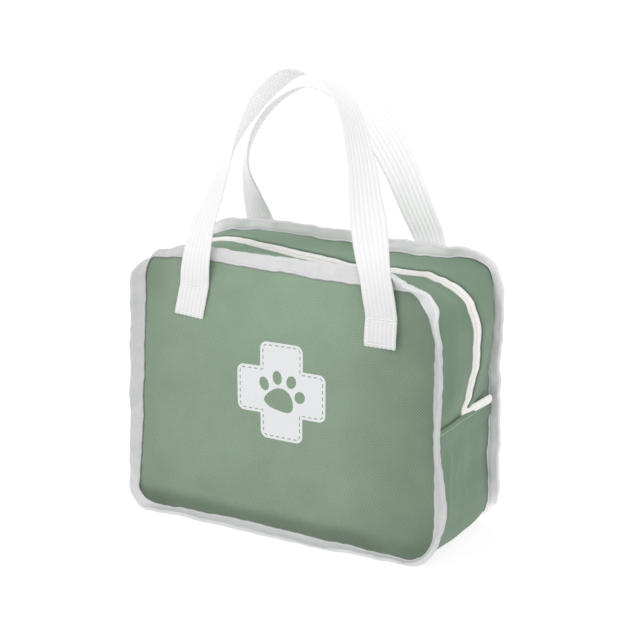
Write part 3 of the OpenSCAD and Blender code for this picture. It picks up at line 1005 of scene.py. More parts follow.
def make_panel(name, seam, crown, light, material, marks=(), spacing=3.1):
    """A panel: its outline lies under the binding, and its two faces follow the crown. marks are closed lines that
    the mesh keeps as edges."""
    p = places(steps=[int(round(k * 0.8)) for k in STEPS])
    S, N, _ = seam.frame(p)
    loops, rings = [], []
    for off in (2.6, 0.6, -0.6, -2.2, -4.6):
        rings.append(S[:, [0, 2]] + N[:, [0, 2]] * off)
    pts = [rings[0]]
    edges, count = [], 0
    n = len(rings[0])
    edges += [(k, (k + 1) % n) for k in range(n)]
    count = n
    for r in rings[1:]:
        pts.append(r)
        edges += [(count + k, count + (k + 1) % n) for k in range(n)]
        count += n
    mark_pts = np.concatenate(marks) if len(marks) else np.zeros((0, 2))
    for loop in marks:
        m = len(loop)
        pts.append(loop)
        edges += [(count + k, count + (k + 1) % m) for k in range(m)]
        count += m
    gx = np.arange(-SEAM_X, SEAM_X, spacing)
    gz = np.arange(SEAM_LOW, SEAM_TOP, spacing * 0.866)
    grid = np.array([(x + (spacing / 2 if k % 2 else 0), z) for k, z in enumerate(gz) for x in gx])
    inner = S[:, [0, 2]] - N[:, [0, 2]] * 6.6
    grid = grid[inside_loop(grid, inner)]
    if len(mark_pts):
        keep = np.ones(len(grid), bool)
        for k in range(0, len(grid), 500):
            d = ((grid[k : k + 500, None] - mark_pts[None]) ** 2).sum(-1).min(1)
            keep[k : k + 500] = d > (0.45 * spacing) ** 2
        grid = grid[keep]
    pts.append(grid)
    flat = np.concatenate(pts)
    v, _, f, _, _, _ = delaunay_2d_cdt([Vector(q) for q in flat], edges, [], 1, 1e-4)
    v = np.array([tuple(q) for q in v])
    f = [tuple(t) for t in f if len(t) == 3]
    tri = np.array(f)
    centre = v[tri].mean(1)
    keep = inside_loop(centre, rings[0])
    tri, centre = tri[keep], centre[keep]
    area = np.cross(v[tri[:, 1]] - v[tri[:, 0]], v[tri[:, 2]] - v[tri[:, 0]])
    tri = tri[np.abs(area) > 1e-7]
    centre = v[tri].mean(1)
    area = np.cross(v[tri[:, 1]] - v[tri[:, 0]], v[tri[:, 2]] - v[tri[:, 0]])
    tri[area < 0] = tri[area < 0][:, ::-1]
    used, tri = np.unique(tri, return_inverse=True)
    tri = tri.reshape(-1, 3)
    v = v[used]
    outer = panel_point(seam, crown, v, 0.0)
    under = panel_point(seam, crown, v, CANVAS)
    ink = np.zeros(len(tri), bool)
    if len(marks):
        ink = inside_loop(centre, marks[0])
        for loop in marks[1:]:
            ink &= ~inside_loop(centre, loop)
    m = len(v)
    front = tri if seam.side < 0 else tri[:, ::-1]
    back = front[:, ::-1] + m
    # rim
    e = np.concatenate([front[:, [0, 1]], front[:, [1, 2]], front[:, [2, 0]]])
    key = {tuple(x) for x in e.tolist()}
    border = [x for x in key if (x[1], x[0]) not in key]
    rim = []
    for a, b in border:
        rim += [(b, a, a + m), (b, a + m, b + m)]
    faces = np.concatenate([front, back, np.array(rim)])
    slots = np.concatenate([ink.astype(int), np.zeros(len(back) + len(rim), int)])
    uvp = np.concatenate([v, v])
    uvs = uvp[faces.ravel()]
    tone = light(v[:, 0], v[:, 1])
    ob = add_object(name, np.concatenate([outer, under]), faces, uvs, material, slots, tone=np.concatenate([tone, tone]))
    return outward(ob)


marks = [rounded_cross()] + PAW + dashes()
front_panel = make_panel("front_panel", front_seam, front_crown, front_tone, [canvas_front, ink_white], marks)
back_panel = make_panel("back_panel_cloth", back_seam, back_crown, back_tone, [canvas_front])

# ---------------------------------------------------------------- gusset

# place, how far the middle of the band stands out, how much the band leans at the zip
BULGE = [
    (0.0, 0.8, 0), (0.6, 0.6, 0), (1.0, 1.0, 0), (1.5, 3.2, 0), (2.0, 1.8, 0), (2.4, 0.8, 0), (2.8, 0.8, 0), (3.0, 0.6, 0.05),
    (3.06, 1.4, 0.13), (3.15, 4.2, 0.24), (3.3, 7.2, 0.29), (3.45, 9.0, 0.31), (3.7, 9.4, 0.31), (3.85, 8.4, 0.31),
    (4.0, 5.2, 0.31), (4.25, 0.4, 0.31), (4.5, -3.0, 0.30), (4.75, -4.8, 0.27), (5.0, -4.4, 0.23), (5.06, -1.4, 0.22),
    (5.12, -0.6, 0.23), (5.2, -0.4, 0.26), (5.36, -2.0, 0.42), (5.44, -2.0, 0.50), (5.54, -0.9, 0.50), (5.67, 1.6, 0.38),
    (5.75, 2.9, 0.28), (5.84, 4.0, 0.22), (5.93, 2.2, 0.18), (6.1, 1.4, 0.1), (6.5, 0.8, 0.02), (7.0, 0.2, 0), (7.5, 0.0, 0),
    (8.0, 0.0, 0), (8.4, 0.4, 0), (9.0, 0.4, 0), (9.5, 0.8, 0), (10.0, 0.4, 0), (10.5, 0.6, 0), (11.0, 0.8, 0),
]


def gusset(p, y, depth=0.0, raised=0.0):
    """Points of the gusset band at places p (rows) and depths y (columns, millimetres from the middle), depth
    millimetres under its outer face."""
    p = np.asarray(p, float)
    y = np.asarray(y, float)
    Y = y if y.ndim == 2 else np.tile(y, (len(p), 1))
    Fs, Fn, _ = front_seam.frame(p)
    Bs, Bn, _ = back_seam.frame(p)
    s = front_seam.travel(p % 11)
    y0, y1 = Fs[:, 1] + 0.8, Bs[:, 1] - 0.8
    t = np.clip((Y - (-48.4)) / 96.8, 0, 1)
    T = t[..., None]
    base = Fs[:, None, :] * (1 - T) + Bs[:, None, :] * T
    base[..., 1] = y0[:, None] + (y1 - y0)[:, None] * t
    N = unit(Fn[:, None, :] * (1 - T) + Bn[:, None, :] * T)
    q = Y / 48.4
    lean = table(GUSSET_LEAN, p % 11, 1)[:, None]
    dome = np.clip(1 - q**2, 0, 1) ** 0.72 * (1 + lean * q)
    h = table(BULGE, p % 11, 1)[:, None] * dome
    h = h + table(BULGE, p % 11, 2)[:, None] * Y * np.exp(-((Y / 12.0) ** 2))
    S = s[:, None] + 0 * Y
    edge = np.clip(1 - np.abs(q) ** 3, 0, 1)
    left = smooth(6.4, 6.9, p % 11) * (1 - smooth(8.6, 9.0, p % 11))
    calm = np.clip((1 - 0.94 * left)[:, None] + left[:, None] * smooth(6, 30, np.abs(Y)), 0, 1)
    # on the left the slider's track stays straight
    middle = (Fs + Bs)[:, 0] / 2
    track = np.clip(smooth(6.75, 7.0, p % 11) * (1 - smooth(8.1, 8.5, p % 11)), 0, 1)
    h = h + (track * (114.0 + middle))[:, None] * np.exp(-((Y / 17.0) ** 2))
    h = h + 0.55 * edge * calm * cloth_noise(61, S, Y, 62.0) + 0.22 * edge * calm * cloth_noise(62, S, Y * 0.6, 22.0)
    for (a0, b0, a1, b1, wd, am) in GUSSET_FOLDS:
        h = h + ridge(S, Y, a0, b0, a1, b1, wd, am) * calm
    h = h + raised - depth
    return base + N * h[..., None]


GUSSET_LEAN = [(0.0, 0.0), (2.0, 0.0), (3.2, 0.12), (3.6, 0.22), (4.0, 0.18), (4.5, 0.0), (5.5, 0.0), (6.5, 0.0), (11.0, 0.0)]
S3 = float(front_seam.travel(np.array([3.0]))[0])
S8 = float(front_seam.travel(np.array([8.0]))[0])
# soft creases: along the band from, across from, along to, across to, width, height
GUSSET_FOLDS = [
    (S3 - 72, -30, S3 - 10, -27, 3.6, 1.0),
    (S3 - 60, -22, S3 - 14, -16, 4.0, -0.9),
    (S3 - 66, 2, S3 - 12, -4, 4.5, 0.8),
    (S3 - 50, 16, S3 - 10, 10, 4.0, -0.7),
    (S3 - 70, 30, S3 - 16, 26, 4.5, 0.7),
    (S3 + 8, -40, S3 + 78, -38, 3.0, -0.8),
    (S3 + 6, -30, S3 + 70, -27, 3.5, 0.7),
    (S3 + 10, 34, S3 + 80, 36, 4.0, -0.8),
    (S3 + 4, 22, S3 + 60, 24, 5.0, 0.5),
    (S8 + 10, -30, S8 + 60, -26, 4.0, 0.8),
    (S8 + 14, 24, S8 + 66, 30, 4.5, 0.8),
    (S8 + 12, -6, S8 + 62, 2, 4.0, -0.6),
    (S8 - 80, -34, S8 - 12, -30, 4.0, -0.7),
    (S8 - 76, 32, S8 - 10, 30, 4.0, -0.7),
]


def side_tone(p, y):
    """How light the band is painted: painted shade against the seams and low down, painted light round the upper
    corners.
    """
    y = np.asarray(y, float)
    Y = y if y.ndim == 2 else np.tile(y, (len(p), 1))
    t = 0.98 - 0.55 * smooth(45.7, 46.5, Y) - 0.30 * smooth(46.4, 47.4, -Y) - 0.05 * smooth(34, 45, np.abs(Y))
    high = smooth(3.9, 4.3, p % 11) * (1 - smooth(6.7, 7.1, p % 11))
    top = smooth(4.9, 5.3, p % 11) * (1 - smooth(6.2, 6.9, p % 11))
    t = t + 0.05 * high[:, None] + 0.18 * top[:, None]
    return t + 0.02 * cloth_noise(93, front_seam.travel(p % 11)[:, None] + 0 * Y, Y, 40.0)


def hem_raise(p):
    """The folded hem stands over the zip's ends: how far the lower band is raised there."""
    p = p % 11
    z = np.zeros_like(p)
    right = (p > 2) & (p <= 3.0)
    left = (p >= 8.0) & (p < 9)
    L2, L8 = front_seam.lengths[2], front_seam.lengths[8]
    z[right] = (3.0 - p[right]) * L2
    z[left] = (p[left] - 8.0) * L8
    near = (right | left).astype(float)
    return near * (2.0 * (1 - smooth(9.0, 14.0, z)))


# lower band: right hem, round the bottom, left hem
steps_low = list(STEPS)
q_low = np.concatenate([places(8, 10, steps_low), places(0, 2, steps_low, end=True) + 11.0])
y_edge = np.array([44.0, 45.0, 45.8, 46.4, 47.0, 47.6, 48.4])
y_low = np.concatenate([-y_edge[::-1], np.linspace(-42, 42, 43), y_edge])
raise_low = hem_raise(q_low)[:, None]
P = gusset(q_low, y_low, 0.0, raise_low)
Q = gusset(q_low, y_low, CANVAS + 0.25 * (raise_low > 0.5), raise_low)
s_low = front_seam.travel(q_low % 11) + np.where(q_low >= 11, front_seam.starts[-1], 0)
s_low[-1] = front_seam.travel(np.array([2.99999]))[0] + front_seam.starts[-1]
lower_gusset = shell("lower_gusset_cloth", P, Q, s_low, y_low, False, canvas_side_shaded, rim=1.0, tone=side_tone(q_low, y_low))

# the strips beside the zip, from behind one hem over the top to behind the other
tuck = 7.5
L2, L8 = front_seam.lengths[2], front_seam.lengths[8]
q_top = np.concatenate([[3 - tuck / L2, 3 - tuck * 0.66 / L2, 3 - tuck * 0.33 / L2], places(3, 7, end=True), [8 + tuck * 0.33 / L8, 8 + tuck * 0.66 / L8, 8 + tuck / L8]])
s_top = front_seam.travel(q_top)


def on_left(q):
    """1 where the slider runs, 0 from the upper left corner on."""
    return smooth(6.6, 6.95, np.asarray(q, float))


def tape_depth(q):
    """How deep the zip tapes lie under the canvas: near its surface, and lower where the slider needs the room."""
    return 0.85 + 1.15 * on_left(q)


def coil_shift(q):
    """The closed zip's middle line has rolled to the front of the opening, except at the slider."""
    return -1.1 * (1 - on_left(q))


def strip_grid(side, depth):
    share = np.concatenate([[0, 0.018, 0.032, 0.045, 0.059, 0.077], np.linspace(0.11, 0.70, 14), np.linspace(0.74, 0.93, 7), [0.955, 0.975, 0.99, 1.0]])
    right = bell(s_top, S3, 11.0)[:, None]
    edge = ZIP_EDGE - 0.5 * right * (1 if side < 0 else 0.3)
    Y = side * (48.4 + (edge - 48.4) * share[None, :])
    left = on_left(q_top)[:, None]
    # the folded edge: proud at the back, pressed down at the front, so that the zip shows
    if side > 0:
        lip = 0.75 * smooth(0.80, 0.95, share) - 0.15 * smooth(0.975, 1.0, share)
    else:
        lip = 0.15 * smooth(0.80, 0.92, share) - 0.35 * smooth(0.95, 1.0, share)
    lip = lip[None, :] * (1 - 0.5 * left)
    thin = 0.75 * smooth(0.55, 0.72, share)[None, :] * (1 - left)
    if depth == 0:
        G = gusset(q_top, Y, -lip)
    else:
        G = gusset(q_top, Y, depth - thin + 0 * lip)
    return G, share * (48.4 - ZIP_EDGE) * side


strips = {}
for side, name in ((-1, "zip_strip_front_cloth"), (1, "zip_strip_back_cloth")):
    P, V = strip_grid(side, 0.0)
    Q, _ = strip_grid(side, CANVAS)
    tone = side_tone(q_top, side * (48.4 + (ZIP_EDGE - 48.4) * np.abs(V) / (48.4 - ZIP_EDGE)))
    strips[side] = shell(name, P, Q, s_top, V, False, canvas_strip, rim=1.0, tone=tone)

# zip tapes
tapes = {}
for side, name in ((-1, "zip_tape_front_cloth"), (1, "zip_tape_back_cloth")):
    ys = side * np.array([0.25, 0.9, 1.6, 2.3, 3.0, 3.7, 4.4, 6.0, 9.0, 13.4])
    ys = ys[None, :] + (coil_shift(q_top)[:, None] * (1 - smooth(1.0, 6.0, np.abs(ys)))[None, :])
    roll = 0.30 * bell(np.abs(ys), 3.4, 0.9) * (side < 0) * (1 - on_left(q_top))[:, None]
    depth = tape_depth(q_top)[:, None] + 0 * ys - roll
    P = gusset(q_top, ys, depth)
    Q = gusset(q_top, ys, depth + 0.55)
    tapes[side] = shell(name, P, Q, s_top, ys.mean(0), False, zip_tape_cream, rim=0.9)


def make_coil(name, side):
    """One half of the closed coil: a row of nylon turns, each a rounded bar across its half of the zip."""
    q = np.linspace(3.0 + 1.0 / front_seam.lengths[3], 8.0 - 1.0 / front_seam.lengths[7], 4000)
    s = front_seam.travel(q)
    pitch = 1.2
    n = int((s[-1] - s[0]) / pitch)
    offset = 0.0 if side < 0 else 0.5
    centres = np.interp(s[0] + (np.arange(n) + offset + 0.25) * pitch, s, q)
    # one turn across the zip: place and height over the tape, round the case and where the slider runs
    if side > 0:
        across, height = np.array([-0.85, -0.1, 0.9, 2.0, 3.0, 3.75]), np.array([0.60, 1.00, 1.20, 1.12, 0.78, 0.25])
    else:
        across, height = np.array([1.25, 1.6, 2.1, 2.6, 3.1, 3.5]), np.array([0.50, 0.82, 0.95, 0.86, 0.55, 0.18])
    across_run = np.array([-0.62, 0.15, 0.9, 1.7, 2.4, 2.95])
    height_run = np.array([0.95, 1.30, 1.42, 1.32, 0.98, 0.42])
    rad = np.array([0.30, 0.38, 0.42, 0.42, 0.40, 0.34])
    verts, faces = [], []
    k_round = 6
    for q0 in centres:
        run = float(on_left(q0))
        at = np.array([q0 - 0.002, q0, q0 + 0.002])
        reach = across * (1 - run) + across_run * run
        up_to = (height * (1 - run) + height_run * run)[:, None]
        y = side * reach
        base = gusset(at, y, float(tape_depth(q0)))
        up = unit(gusset(np.array([q0]), y, float(tape_depth(q0)) - 1.0)[0] - base[1])
        t = unit(base[2] - base[0])
        # each turn leans a little along the zip
        lean = t * (0.16 * (reach - 1.0))[:, None]
        mid = base[1] + up * up_to + lean
        d = unit(np.gradient(mid, axis=0))
        nn = unit(np.cross(t, d))
        start = len(verts)
        for j in range(len(across)):
            for k in range(k_round):
                ang = 2 * math.pi * k / k_round
                verts.append(mid[j] + t[j] * rad[j] * 1.25 * math.cos(ang) + nn[j] * rad[j] * math.sin(ang))
        for j in range(len(across) - 1):
            for k in range(k_round):
                l = (k + 1) % k_round
                v0 = start + j * k_round
                faces.append((v0 + k, v0 + l, v0 + k_round + l, v0 + k_round + k))
        faces.append(tuple(start + k for k in range(k_round))[::-1])
        e = start + (len(across) - 1) * k_round
        faces.append(tuple(e + k for k in range(k_round)))
    ob = add_object(name, np.array(verts), faces, None, zip_coil_cream)
    return outward(ob)


coils = {-1: make_coil("zip_coil_front_turns", -1), 1: make_coil("zip_coil_back_turns", 1)}


def make_cord(name, side):
    """The filling under the turns, which closes the coil from below."""
    q = places(3, 7, end=True)
    q = np.clip(q, 3.0 + 0.6 / front_seam.lengths[3], 8.0 - 0.6 / front_seam.lengths[7])
    s = front_seam.travel(q)
    run = on_left(q)[:, None]
    if side > 0:
        ys, top = np.array([-0.75, 0.2, 1.3, 2.5, 3.5]), np.array([0.75, 1.28, 1.42, 1.18, 0.50])
    else:
        ys, top = -np.array([1.35, 1.7, 2.2, 2.7, 3.3]), np.array([0.60, 1.02, 1.18, 1.02, 0.45])
    ys = ys[None, :] * (1 - run) + side * np.array([0.15, 0.8, 1.6, 2.3, 2.8])[None, :] * run
    top = top[None, :] * (1 - run) + np.array([0.85, 1.12, 1.12, 0.80, 0.28])[None, :] * run
    deep = tape_depth(q)[:, None]
    P = gusset(q, ys, deep - top)
    Q = gusset(q, ys, deep + 0.03)
    return shell(name, P, Q, s, ys.mean(0), False, zip_tape_cream, rim=0.6)


cords = {-1: make_cord("zip_core_front", -1), 1: make_cord("zip_core_back", 1)}

# ---------------------------------------------------------------- the loose tape end


TAIL = 39.0


TAIL = 39.0


def make_tail():
    """The tape's end, folded double along its length: it comes off the zip at the hem and runs back along it,
    curving out."""
    n = 34
    t = np.linspace(0, 1, n)
    start = np.array([117.3, -2.6, 95.6])
    rise = np.radians(-2 + 10 * t)
    heading = np.radians(3 + 11 * t)
    step = TAIL / (n - 1)
    d = np.stack([np.sin(heading) * np.cos(rise), np.cos(heading) * np.cos(rise), np.sin(rise)], 1)
    c = start + np.concatenate([[np.zeros(3)], np.cumsum(d[:-1] * step, 0)])
    # across the tape: down the outer layer's height, round the fold at the top and down the inner layer
    high = np.array([-3.0, -2.2, -1.2, 0.0, 1.2, 2.1, 2.75, 3.0, 2.75, 2.1, 1.2, 0.0, -1.2, -2.2, -2.9])
    off = np.array([0.45, 0.6, 0.8, 0.88, 0.8, 0.65, 0.42, 0.02, -0.34, -0.3, -0.2, -0.15, -0.2, -0.3, -0.36])
    m = len(high)
    half = 0.92 + 0.12 * t
    half = half * np.where(t > 0.94, np.sqrt(np.clip(1 - ((t - 0.94) / 0.08) ** 2, 0.3, 1)), 1)
    half = half * (0.6 + 0.4 * smooth(0.0, 0.14, t))
    up = unit(np.cross(np.cross(d, [0, 0, 1.0]), d))
    side = unit(np.cross(d, up))
    rib = 0.07 * np.sin(t * TAIL * 2 * math.pi / 1.3)[:, None] * np.where(off > 0.3, 1.0, 0.0)[None, :]
    mid = c[:, None, :] + up[:, None, :] * (high[None, :] * half[:, None])[..., None] + side[:, None, :] * (off[None, :] + rib)[..., None]
    along = np.gradient(mid, axis=0)
    out = unit(np.cross(np.gradient(mid, axis=1), along))
    out = out * np.sign((out[:, :1] * side[:, None, :]).sum(-1, keepdims=True))
    P = mid + out * 0.2
    Q = mid - out * 0.2
    seg = np.linalg.norm(np.diff(mid[n // 2], axis=0), axis=1)
    v = np.concatenate([[0], np.cumsum(seg)])
    return shell("zip_tail_cloth", P, Q, t * TAIL, v, False, zip_tape_cream, rim=0.8), float(v[-1])


zip_tail, tail_width = make_tail()

# ---------------------------------------------------------------- stitches


def stitch_run(points, up, length=2.6, gap=0.9, width=0.34, height=0.26):
    """Small stitches along a line of points: verts and faces. up is the direction out of the cloth at each point."""
    points, up = np.asarray(points, float), np.asarray(up, float)
    seg = np.linalg.norm(np.diff(points, axis=0), axis=1)
    s = np.concatenate([[0], np.cumsum(seg)])
    n = max(1, int((s[-1] + gap) / (length + gap)))
    pitch = s[-1] / n
    verts, faces = [], []
    at = lambda q, arr: np.array([np.interp(q, s, arr[:, k]) for k in range(3)])
    for k in range(n):
        c = (k + 0.5) * pitch
        stations = [-0.5, -0.3, 0.0, 0.3, 0.5]
        heights = [-0.25, 0.75, 1.0, 0.75, -0.25]
        start = len(verts)
        ring = 6
        for st, hh in zip(stations, heights):
            q = c + st * length
            here, u = at(q, points), unit(at(q, up))
            t = unit(at(min(q + 0.3, s[-1]), points) - at(max(q - 0.3, 0), points))
            w = unit(np.cross(t, u))
            r = width * (0.55 if abs(st) == 0.5 else 1.0)
            for j in range(ring):
                a = 2 * math.pi * j / ring
                verts.append(here + u * height * hh * 0.5 + w * r * math.cos(a) + u * height * 0.8 * math.sin(a))
        for j in range(len(stations) - 1):
            for i in range(ring):
                l = (i + 1) % ring
                a = start + j * ring
                faces.append((a + i, a + l, a + ring + l, a + ring + i))
        faces.append(tuple(start + i for i in range(ring)))
        e = start + (len(stations) - 1) * ring
        faces.append(tuple(e + i for i in range(ring)))
    return verts, faces


def join_runs(name, runs, material):
    verts, faces = [], []
    for v, f in runs:
        o = len(verts)
        verts += v
        faces += [tuple(i + o for i in face) for face in f]
    return outward(add_object(name, np.array(verts), faces, None, material))


runs = []
for end in (3.0, 8.0):
    L = L2 if end == 3.0 else L8
    q0 = end - 2.3 / L if end == 3.0 else end + 2.3 / L
    ys = np.linspace(-46.0, 46.0, 70)
    base = gusset(np.array([q0]), ys, 0.0, hem_raise(np.array([q0]))[:, None])[0]
    over = gusset(np.array([q0]), ys, -1.0, hem_raise(np.array([q0]))[:, None])[0]
    runs.append(stitch_run(base + (over - base) * 0.02, over - base, 2.5, 0.8, 0.30, 0.24))
hem_stitches = join_runs("hem_stitches", runs, thread_green)

# ---------------------------------------------------------------- handles

# each row: across, how far in from the strap's own plane, up from the stitches, twist in degrees
FRONT_ROUTE = [
    [-64.9, 0, 10, 2], [-62.6, 0.8, 26, 9], [-59.8, 7, 47, 23],
    [-54.8, 15, 67, 39], [-48, 20, 87, 56], [-39, 26, 111, 80], [-26, 31, 133, 102],
    [-4, 34, 149, 106], [21, 34, 144, 98], [36, 32, 131, 88],
    [45, 28, 115, 80], [54, 22, 93, 68], [61, 15, 71, 56],
    [69, 7, 47, 26], [76.2, 0.5, 25, 0], [79.2, 0, 9, 0],
]
BACK_ROUTE = [
    [-75, 0, 12, 0], [-75, 0, 25, 0], [-77, 8, 49, 24],
    [-75, 18, 75, 52], [-62, 24, 101, 74], [-40, 29, 123, 84], [-12, 32, 136, 86],
    [12, 33, 134, 60], [28, 28, 120, 38], [39.8, 20, 98, 27],
    [49, 12, 75, 22], [57.4, 5, 49, 10], [65.6, 0, 26, 1], [66, 0, 12, 0],
]
# each sewn end: its foot, its upper stitches, and how its two cross edges tilt
FRONT_ENDS = [((-71.8, 152.2), (-66.4, 176.2), (-4, 1)), ((79.6, 150.0), (80.4, 170.6), (0, 1))]
BACK_ENDS = [((-77.0, 151.4), (-75.2, 175.4), (-3, 0)), ((67.4, 151.2), (66.2, 175.2), (2, 1))]
# how light the webbing is painted along its length: painted shade on the sewn ends, painted light over the loop
FRONT_DIM = [(0, 0.77), (0.07, 0.79), (0.13, 0.85), (0.24, 0.88), (0.34, 1.03), (0.52, 1.03), (0.62, 0.88), (0.84, 0.85), (0.93, 0.74), (1, 0.72)]
BACK_DIM = [(0, 0.9), (0.2, 0.93), (0.3, 1.0), (0.45, 1.03), (0.9, 1.02), (1, 1.0)]
STRAP_Y, BASE_Z = 53.0, 175.0
WEB, WEB_T = 23.5, 1.6


def panel_face(seam, crown, x, z):
    pts = panel_point(seam, crown, np.array([[x, z]], float), 0.0)
    return abs(float(pts[0, 1]))


def spline(points, n):
    p = np.array(points, float)
    out = []
    m = len(p) - 1
    for i in range(m):
        a, b, c, d = p[max(i - 1, 0)], p[i], p[i + 1], p[min(i + 2, m)]
        for j in range(n):
            t = j / n
            out.append(0.5 * (2 * b + (c - a) * t + (2 * a - 5 * b + 4 * c - d) * t * t + (3 * b - a - 3 * c + d) * t**3))
    out.append(p[m])
    return np.array(out)


def make_strap(name, route, ends, side, seam, crown, dim):
    """One length of webbing: sewn end, loop, sewn end. Returns the object, its length, and its line for the stitches."""
    r = np.array(route, float)
    heads, sewn, tabs_w = [], [], []
    for foot, top, tilts in ends:
        foot, top = np.array(foot), np.array(top)
        t = np.linspace(0, 1, 7)[:, None]
        xz = foot + (top - foot) * t
        y = np.array([panel_face(seam, crown, *p) for p in xz]) + WEB_T / 2 + 0.08
        heads.append(np.stack([xz[:, 0], side * y, xz[:, 1], 0 * y], 1))
        sewn.append(float(np.linalg.norm(top - foot)))
        tabs_w.append([np.array([math.cos(math.radians(k)), 0, math.sin(math.radians(k))]) for k in tilts])
    body = np.stack([r[:, 0], side * (STRAP_Y - r[:, 1]), BASE_Z + r[:, 2], r[:, 3]], 1)
    control = np.concatenate([heads[0], body, heads[1][::-1]])
    c = spline(control, 12)
    seg = np.linalg.norm(np.diff(c[:, :3], axis=0), axis=1)
    s = np.concatenate([[0], np.cumsum(seg)])
    total = float(s[-1])
    n = int(total / 1.7)
    q = np.linspace(0, total, n + 1)
    line = np.stack([np.interp(q, s, c[:, k]) for k in range(3)], 1)
    tw = np.radians(np.interp(q, s, c[:, 3]))
    near = np.where(q < total / 2, q - sewn[0], total - q - sewn[1])
    for _ in range(4):
        avg = line.copy()
        avg[1:-1] = (line[:-2] + 2 * line[1:-1] + line[2:]) / 4
        line = line + (avg - line) * smooth(-6, 4, near)[:, None]
    T = unit(np.gradient(line, axis=0))
    depth = unit(np.array([0, 1.0, 0]) - T * T[:, 1:2])
    flat = np.cross(T, depth)
    W = unit(flat * np.cos(tw)[:, None] + depth * np.sin(tw)[:, None])
    # the sewn ends are cut and sewn level, whatever way the strap leans
    share = np.clip(np.where(q < total / 2, q / sewn[0], (total - q) / sewn[1]), 0, 1)[:, None]
    level_left = -(tabs_w[0][0] * (1 - share) + tabs_w[0][1] * share)
    level_right = tabs_w[1][0] * (1 - share) + tabs_w[1][1] * share
    level = np.where((q < total / 2)[:, None], level_left, level_right)
    t = smooth(-1, 16, near)[:, None]
    W = unit(level * (1 - t) + W * t)
    Nn = unit(np.cross(T, W))
    # cross-section: ribs on both faces, rounded selvedges
    m = 51
    v = np.linspace(-1, 1, m)
    half = WEB / 2 - 0.35
    ribs = 0.5 * (1 + np.cos(v * half * 2 * math.pi / 3.25))
    edge = smooth(0.86, 0.95, np.abs(v))
    thick = WEB_T / 2 - 0.34 * (1 - ribs) * (1 - edge) - 0.16 * edge
    free = smooth(0, 40, near)
    cup = (free * 0.6)[:, None] * (v**2)[None, :]
    sway = 0.22 * free[:, None] * np.sin(q[:, None] / 19.0 + (v[None, :] > 0) * 1.9) * (np.abs(v) ** 3)[None, :]
    mid = line[:, None, :] + W[:, None, :] * (v * half)[None, :, None] + Nn[:, None, :] * (cup + sway)[..., None]
    P = mid + Nn[:, None, :] * thick[None, :, None]
    Q = mid - Nn[:, None, :] * thick[None, :, None]
    # painted shade on the sewn ends and painted light over the loop, along the length
    tone = np.interp(q / total, [d[0] for d in dim], [d[1] for d in dim])
    ob = shell(name, P, Q, q, v * half, False, webbing_white, rim=1.0, tone=tone[:, None])
    return ob, total, (line, W, Nn, q, sewn)


front_strap, front_strap_length, front_line = make_strap("front_handle_webbing", FRONT_ROUTE, FRONT_ENDS, -1, front_seam, front_crown, FRONT_DIM)
back_strap, back_strap_length, back_line = make_strap("back_handle_webbing", BACK_ROUTE, BACK_ENDS, 1, back_seam, back_crown, BACK_DIM)


def end_stitches(name, line, side):
    """The sewing on each end: a double row at the top, one row at the foot and one down each side."""
    pts, W, Nn, q, sewn = line
    total = q[-1]
    runs = []
    half = WEB / 2 - 1.9
    out = np.array([0, side, 0.0])

    def at(arr, s):
        return np.stack([np.interp(s, q, arr[:, k]) for k in range(3)], -1)

    for flip in (False, True):
        length = sewn[1 if flip else 0]

        def spot(s, v):
            s = total - s if flip else s
            p, w, n = at(pts, s), unit(at(W, s)), unit(at(Nn, s))
            n = n * np.sign((n * out).sum(-1, keepdims=True))
            return p + w * np.asarray(v)[..., None] + n * (WEB_T / 2 - 0.12), n

        for s0 in (length - 0.6, length - 2.6, 2.2):
            a, b = spot(np.full(24, s0), np.linspace(-half, half, 24))
            runs.append(stitch_run(a, b, 2.3, 0.7, 0.34, 0.34))
        for v0 in (-half, half):
            a, b = spot(np.linspace(2.2, length - 0.6, 24), np.full(24, v0))
            runs.append(stitch_run(a, b, 2.3, 0.7, 0.34, 0.34))
    return join_runs(name, runs, thread_white)


front_stitches = end_stitches("front_handle_stitches", front_line, -1)
back_stitches = end_stitches("back_handle_stitches", back_line, 1)

# ---------------------------------------------------------------- slider: the CAD solids, softened and given metal


def cast_piece(node, name):
    """The CAD solid's shape with its edges eased, as on a cast piece."""
    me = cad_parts[node].data.copy()
    me.name = name
    bm = bmesh.new()
    bm.from_mesh(me)
    bmesh.ops.remove_doubles(bm, verts=bm.verts, dist=2e-6)
    bmesh.ops.dissolve_limit(bm, angle_limit=math.radians(1.0), verts=bm.verts, edges=bm.edges)
    sharp = [e for e in bm.edges if len(e.link_faces) == 2 and e.calc_face_angle(0) > math.radians(35)]
    bmesh.ops.bevel(bm, geom=sharp, offset=0.00018, segments=2, profile=0.6, affect="EDGES", clamp_overlap=True)
    bmesh.ops.triangulate(bm, faces=bm.faces)
    bmesh.ops.recalc_face_normals(bm, faces=bm.faces)
    bm.to_mesh(me)
    bm.free()
    me.materials.clear()
    me.materials.append(slider_metal)
    me.polygons.foreach_set("use_smooth", np.ones(len(me.polygons), bool))
    me.set_sharp_from_angle(angle=math.radians(40))
    ob = bpy.data.objects.new(name, me)
    scene.collection.objects.link(ob)
    return ob


slider = cast_piece("slider_body", "slider_body_cast")
bail = cast_piece("slider_bail", "slider_bail_cast")
pull_tab = cast_piece("zip_pull", "zip_pull_cast")

# ---------------------------------------------------------------- what the pieces ride on: some are tied to a body, the others only keep their places

for ob in (front_panel, front_binding, strips[-1], tapes[-1], coils[-1], cords[-1]):
    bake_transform(ob)
for ob in (back_panel, back_binding, lower_gusset, strips[1], tapes[1], coils[1], cords[1], zip_tail, hem_stitches, back_stitches):
    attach(ob, "case")
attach(front_stitches, "front_flap")
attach(slider, "zip_slider")
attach(bail, "zip_slider")
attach(pull_tab, "pull")
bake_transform(front_strap)
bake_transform(back_strap)

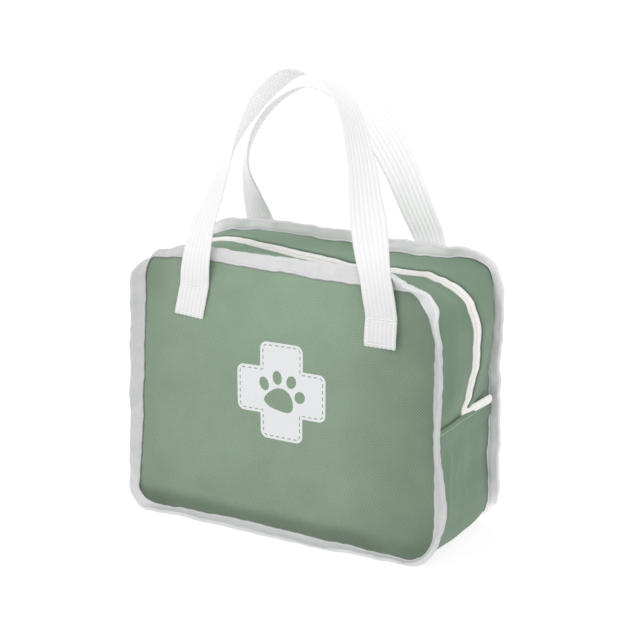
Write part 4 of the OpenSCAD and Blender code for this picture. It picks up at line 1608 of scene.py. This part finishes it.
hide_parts("front_panel_upper", "front_panel_lower")
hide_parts("back_panel")
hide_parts("front_binding_upper", "front_binding_lower")
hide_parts("back_binding")
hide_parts("lower_gusset")
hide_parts("zip_strip_front")
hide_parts("zip_strip_back")
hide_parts("zip_tape_front")
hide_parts("zip_tape_back")
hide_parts("zip_coil_front")
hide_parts("zip_coil_back")
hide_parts("zip_tail")
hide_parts("hem_stitching")
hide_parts("front_handle_loop", "front_handle_end_left", "front_handle_end_right")
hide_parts("back_handle_loop", "back_handle_end_left", "back_handle_end_right")
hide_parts("front_handle_stitching")
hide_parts("back_handle_stitching")
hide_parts("slider_body")
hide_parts("slider_bail")
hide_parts("zip_pull")

# ---------------------------------------------------------------- floor, light


def make_floor():
    n = 60
    xs = np.linspace(-1, 1, n)
    r = np.sign(xs) * np.abs(xs) ** 2.2 * 30000
    verts = [(x, y, 0.0) for x in r for y in r]
    faces = [(i * n + j, (i + 1) * n + j, (i + 1) * n + j + 1, i * n + j + 1) for i in range(n - 1) for j in range(n - 1)]
    m = new_material("pale_floor")
    k = Nodes(m)
    p = k.place()
    colour = k.ramp(k.noise(p, 1.5, 2.0, 0.5), [(0.3, (0.24, 0.24, 0.24)), (0.7, (0.25, 0.25, 0.25))])
    b = k.finish(colour, 0.9, None, spec=0.0)
    b.inputs["Emission Color"].default_value = (1, 1, 1, 1)
    b.inputs["Emission Strength"].default_value = 0.815
    m.cycles.emission_sampling = "NONE"
    return add_object("floor", np.array(verts), faces, None, m)


floor = make_floor()


def area_light(name, place, aim, size, power, colour=(1, 1, 1)):
    d = bpy.data.lights.new(name, "AREA")
    d.shape = "RECTANGLE"
    d.size, d.size_y = size
    d.energy = power
    d.color = colour
    o = bpy.data.objects.new(name, d)
    o.location = place
    o.rotation_mode = "QUATERNION"
    o.rotation_quaternion = (Vector(aim) - Vector(place)).to_track_quat("-Z", "Y")
    scene.collection.objects.link(o)
    return o


area_light("key", (-0.9, -2.2, 2.0), (0, 0, 0.12), (1.5, 1.5), 19)
area_light("fill", (2.2, -1.6, 1.6), (0, 0, 0.12), (1.6, 1.6), 12)

world = bpy.data.worlds.new("studio")
scene.world = world
world.use_nodes = True
bg = world.node_tree.nodes["Background"]
bg.inputs[0].default_value = (1.0, 1.0, 1.0, 1)
bg.inputs[1].default_value = 0.93

scene.view_settings.view_transform = "Standard"
scene.view_settings.look = "None"
scene.view_settings.exposure = 0.0

bpy.context.view_layer.update()
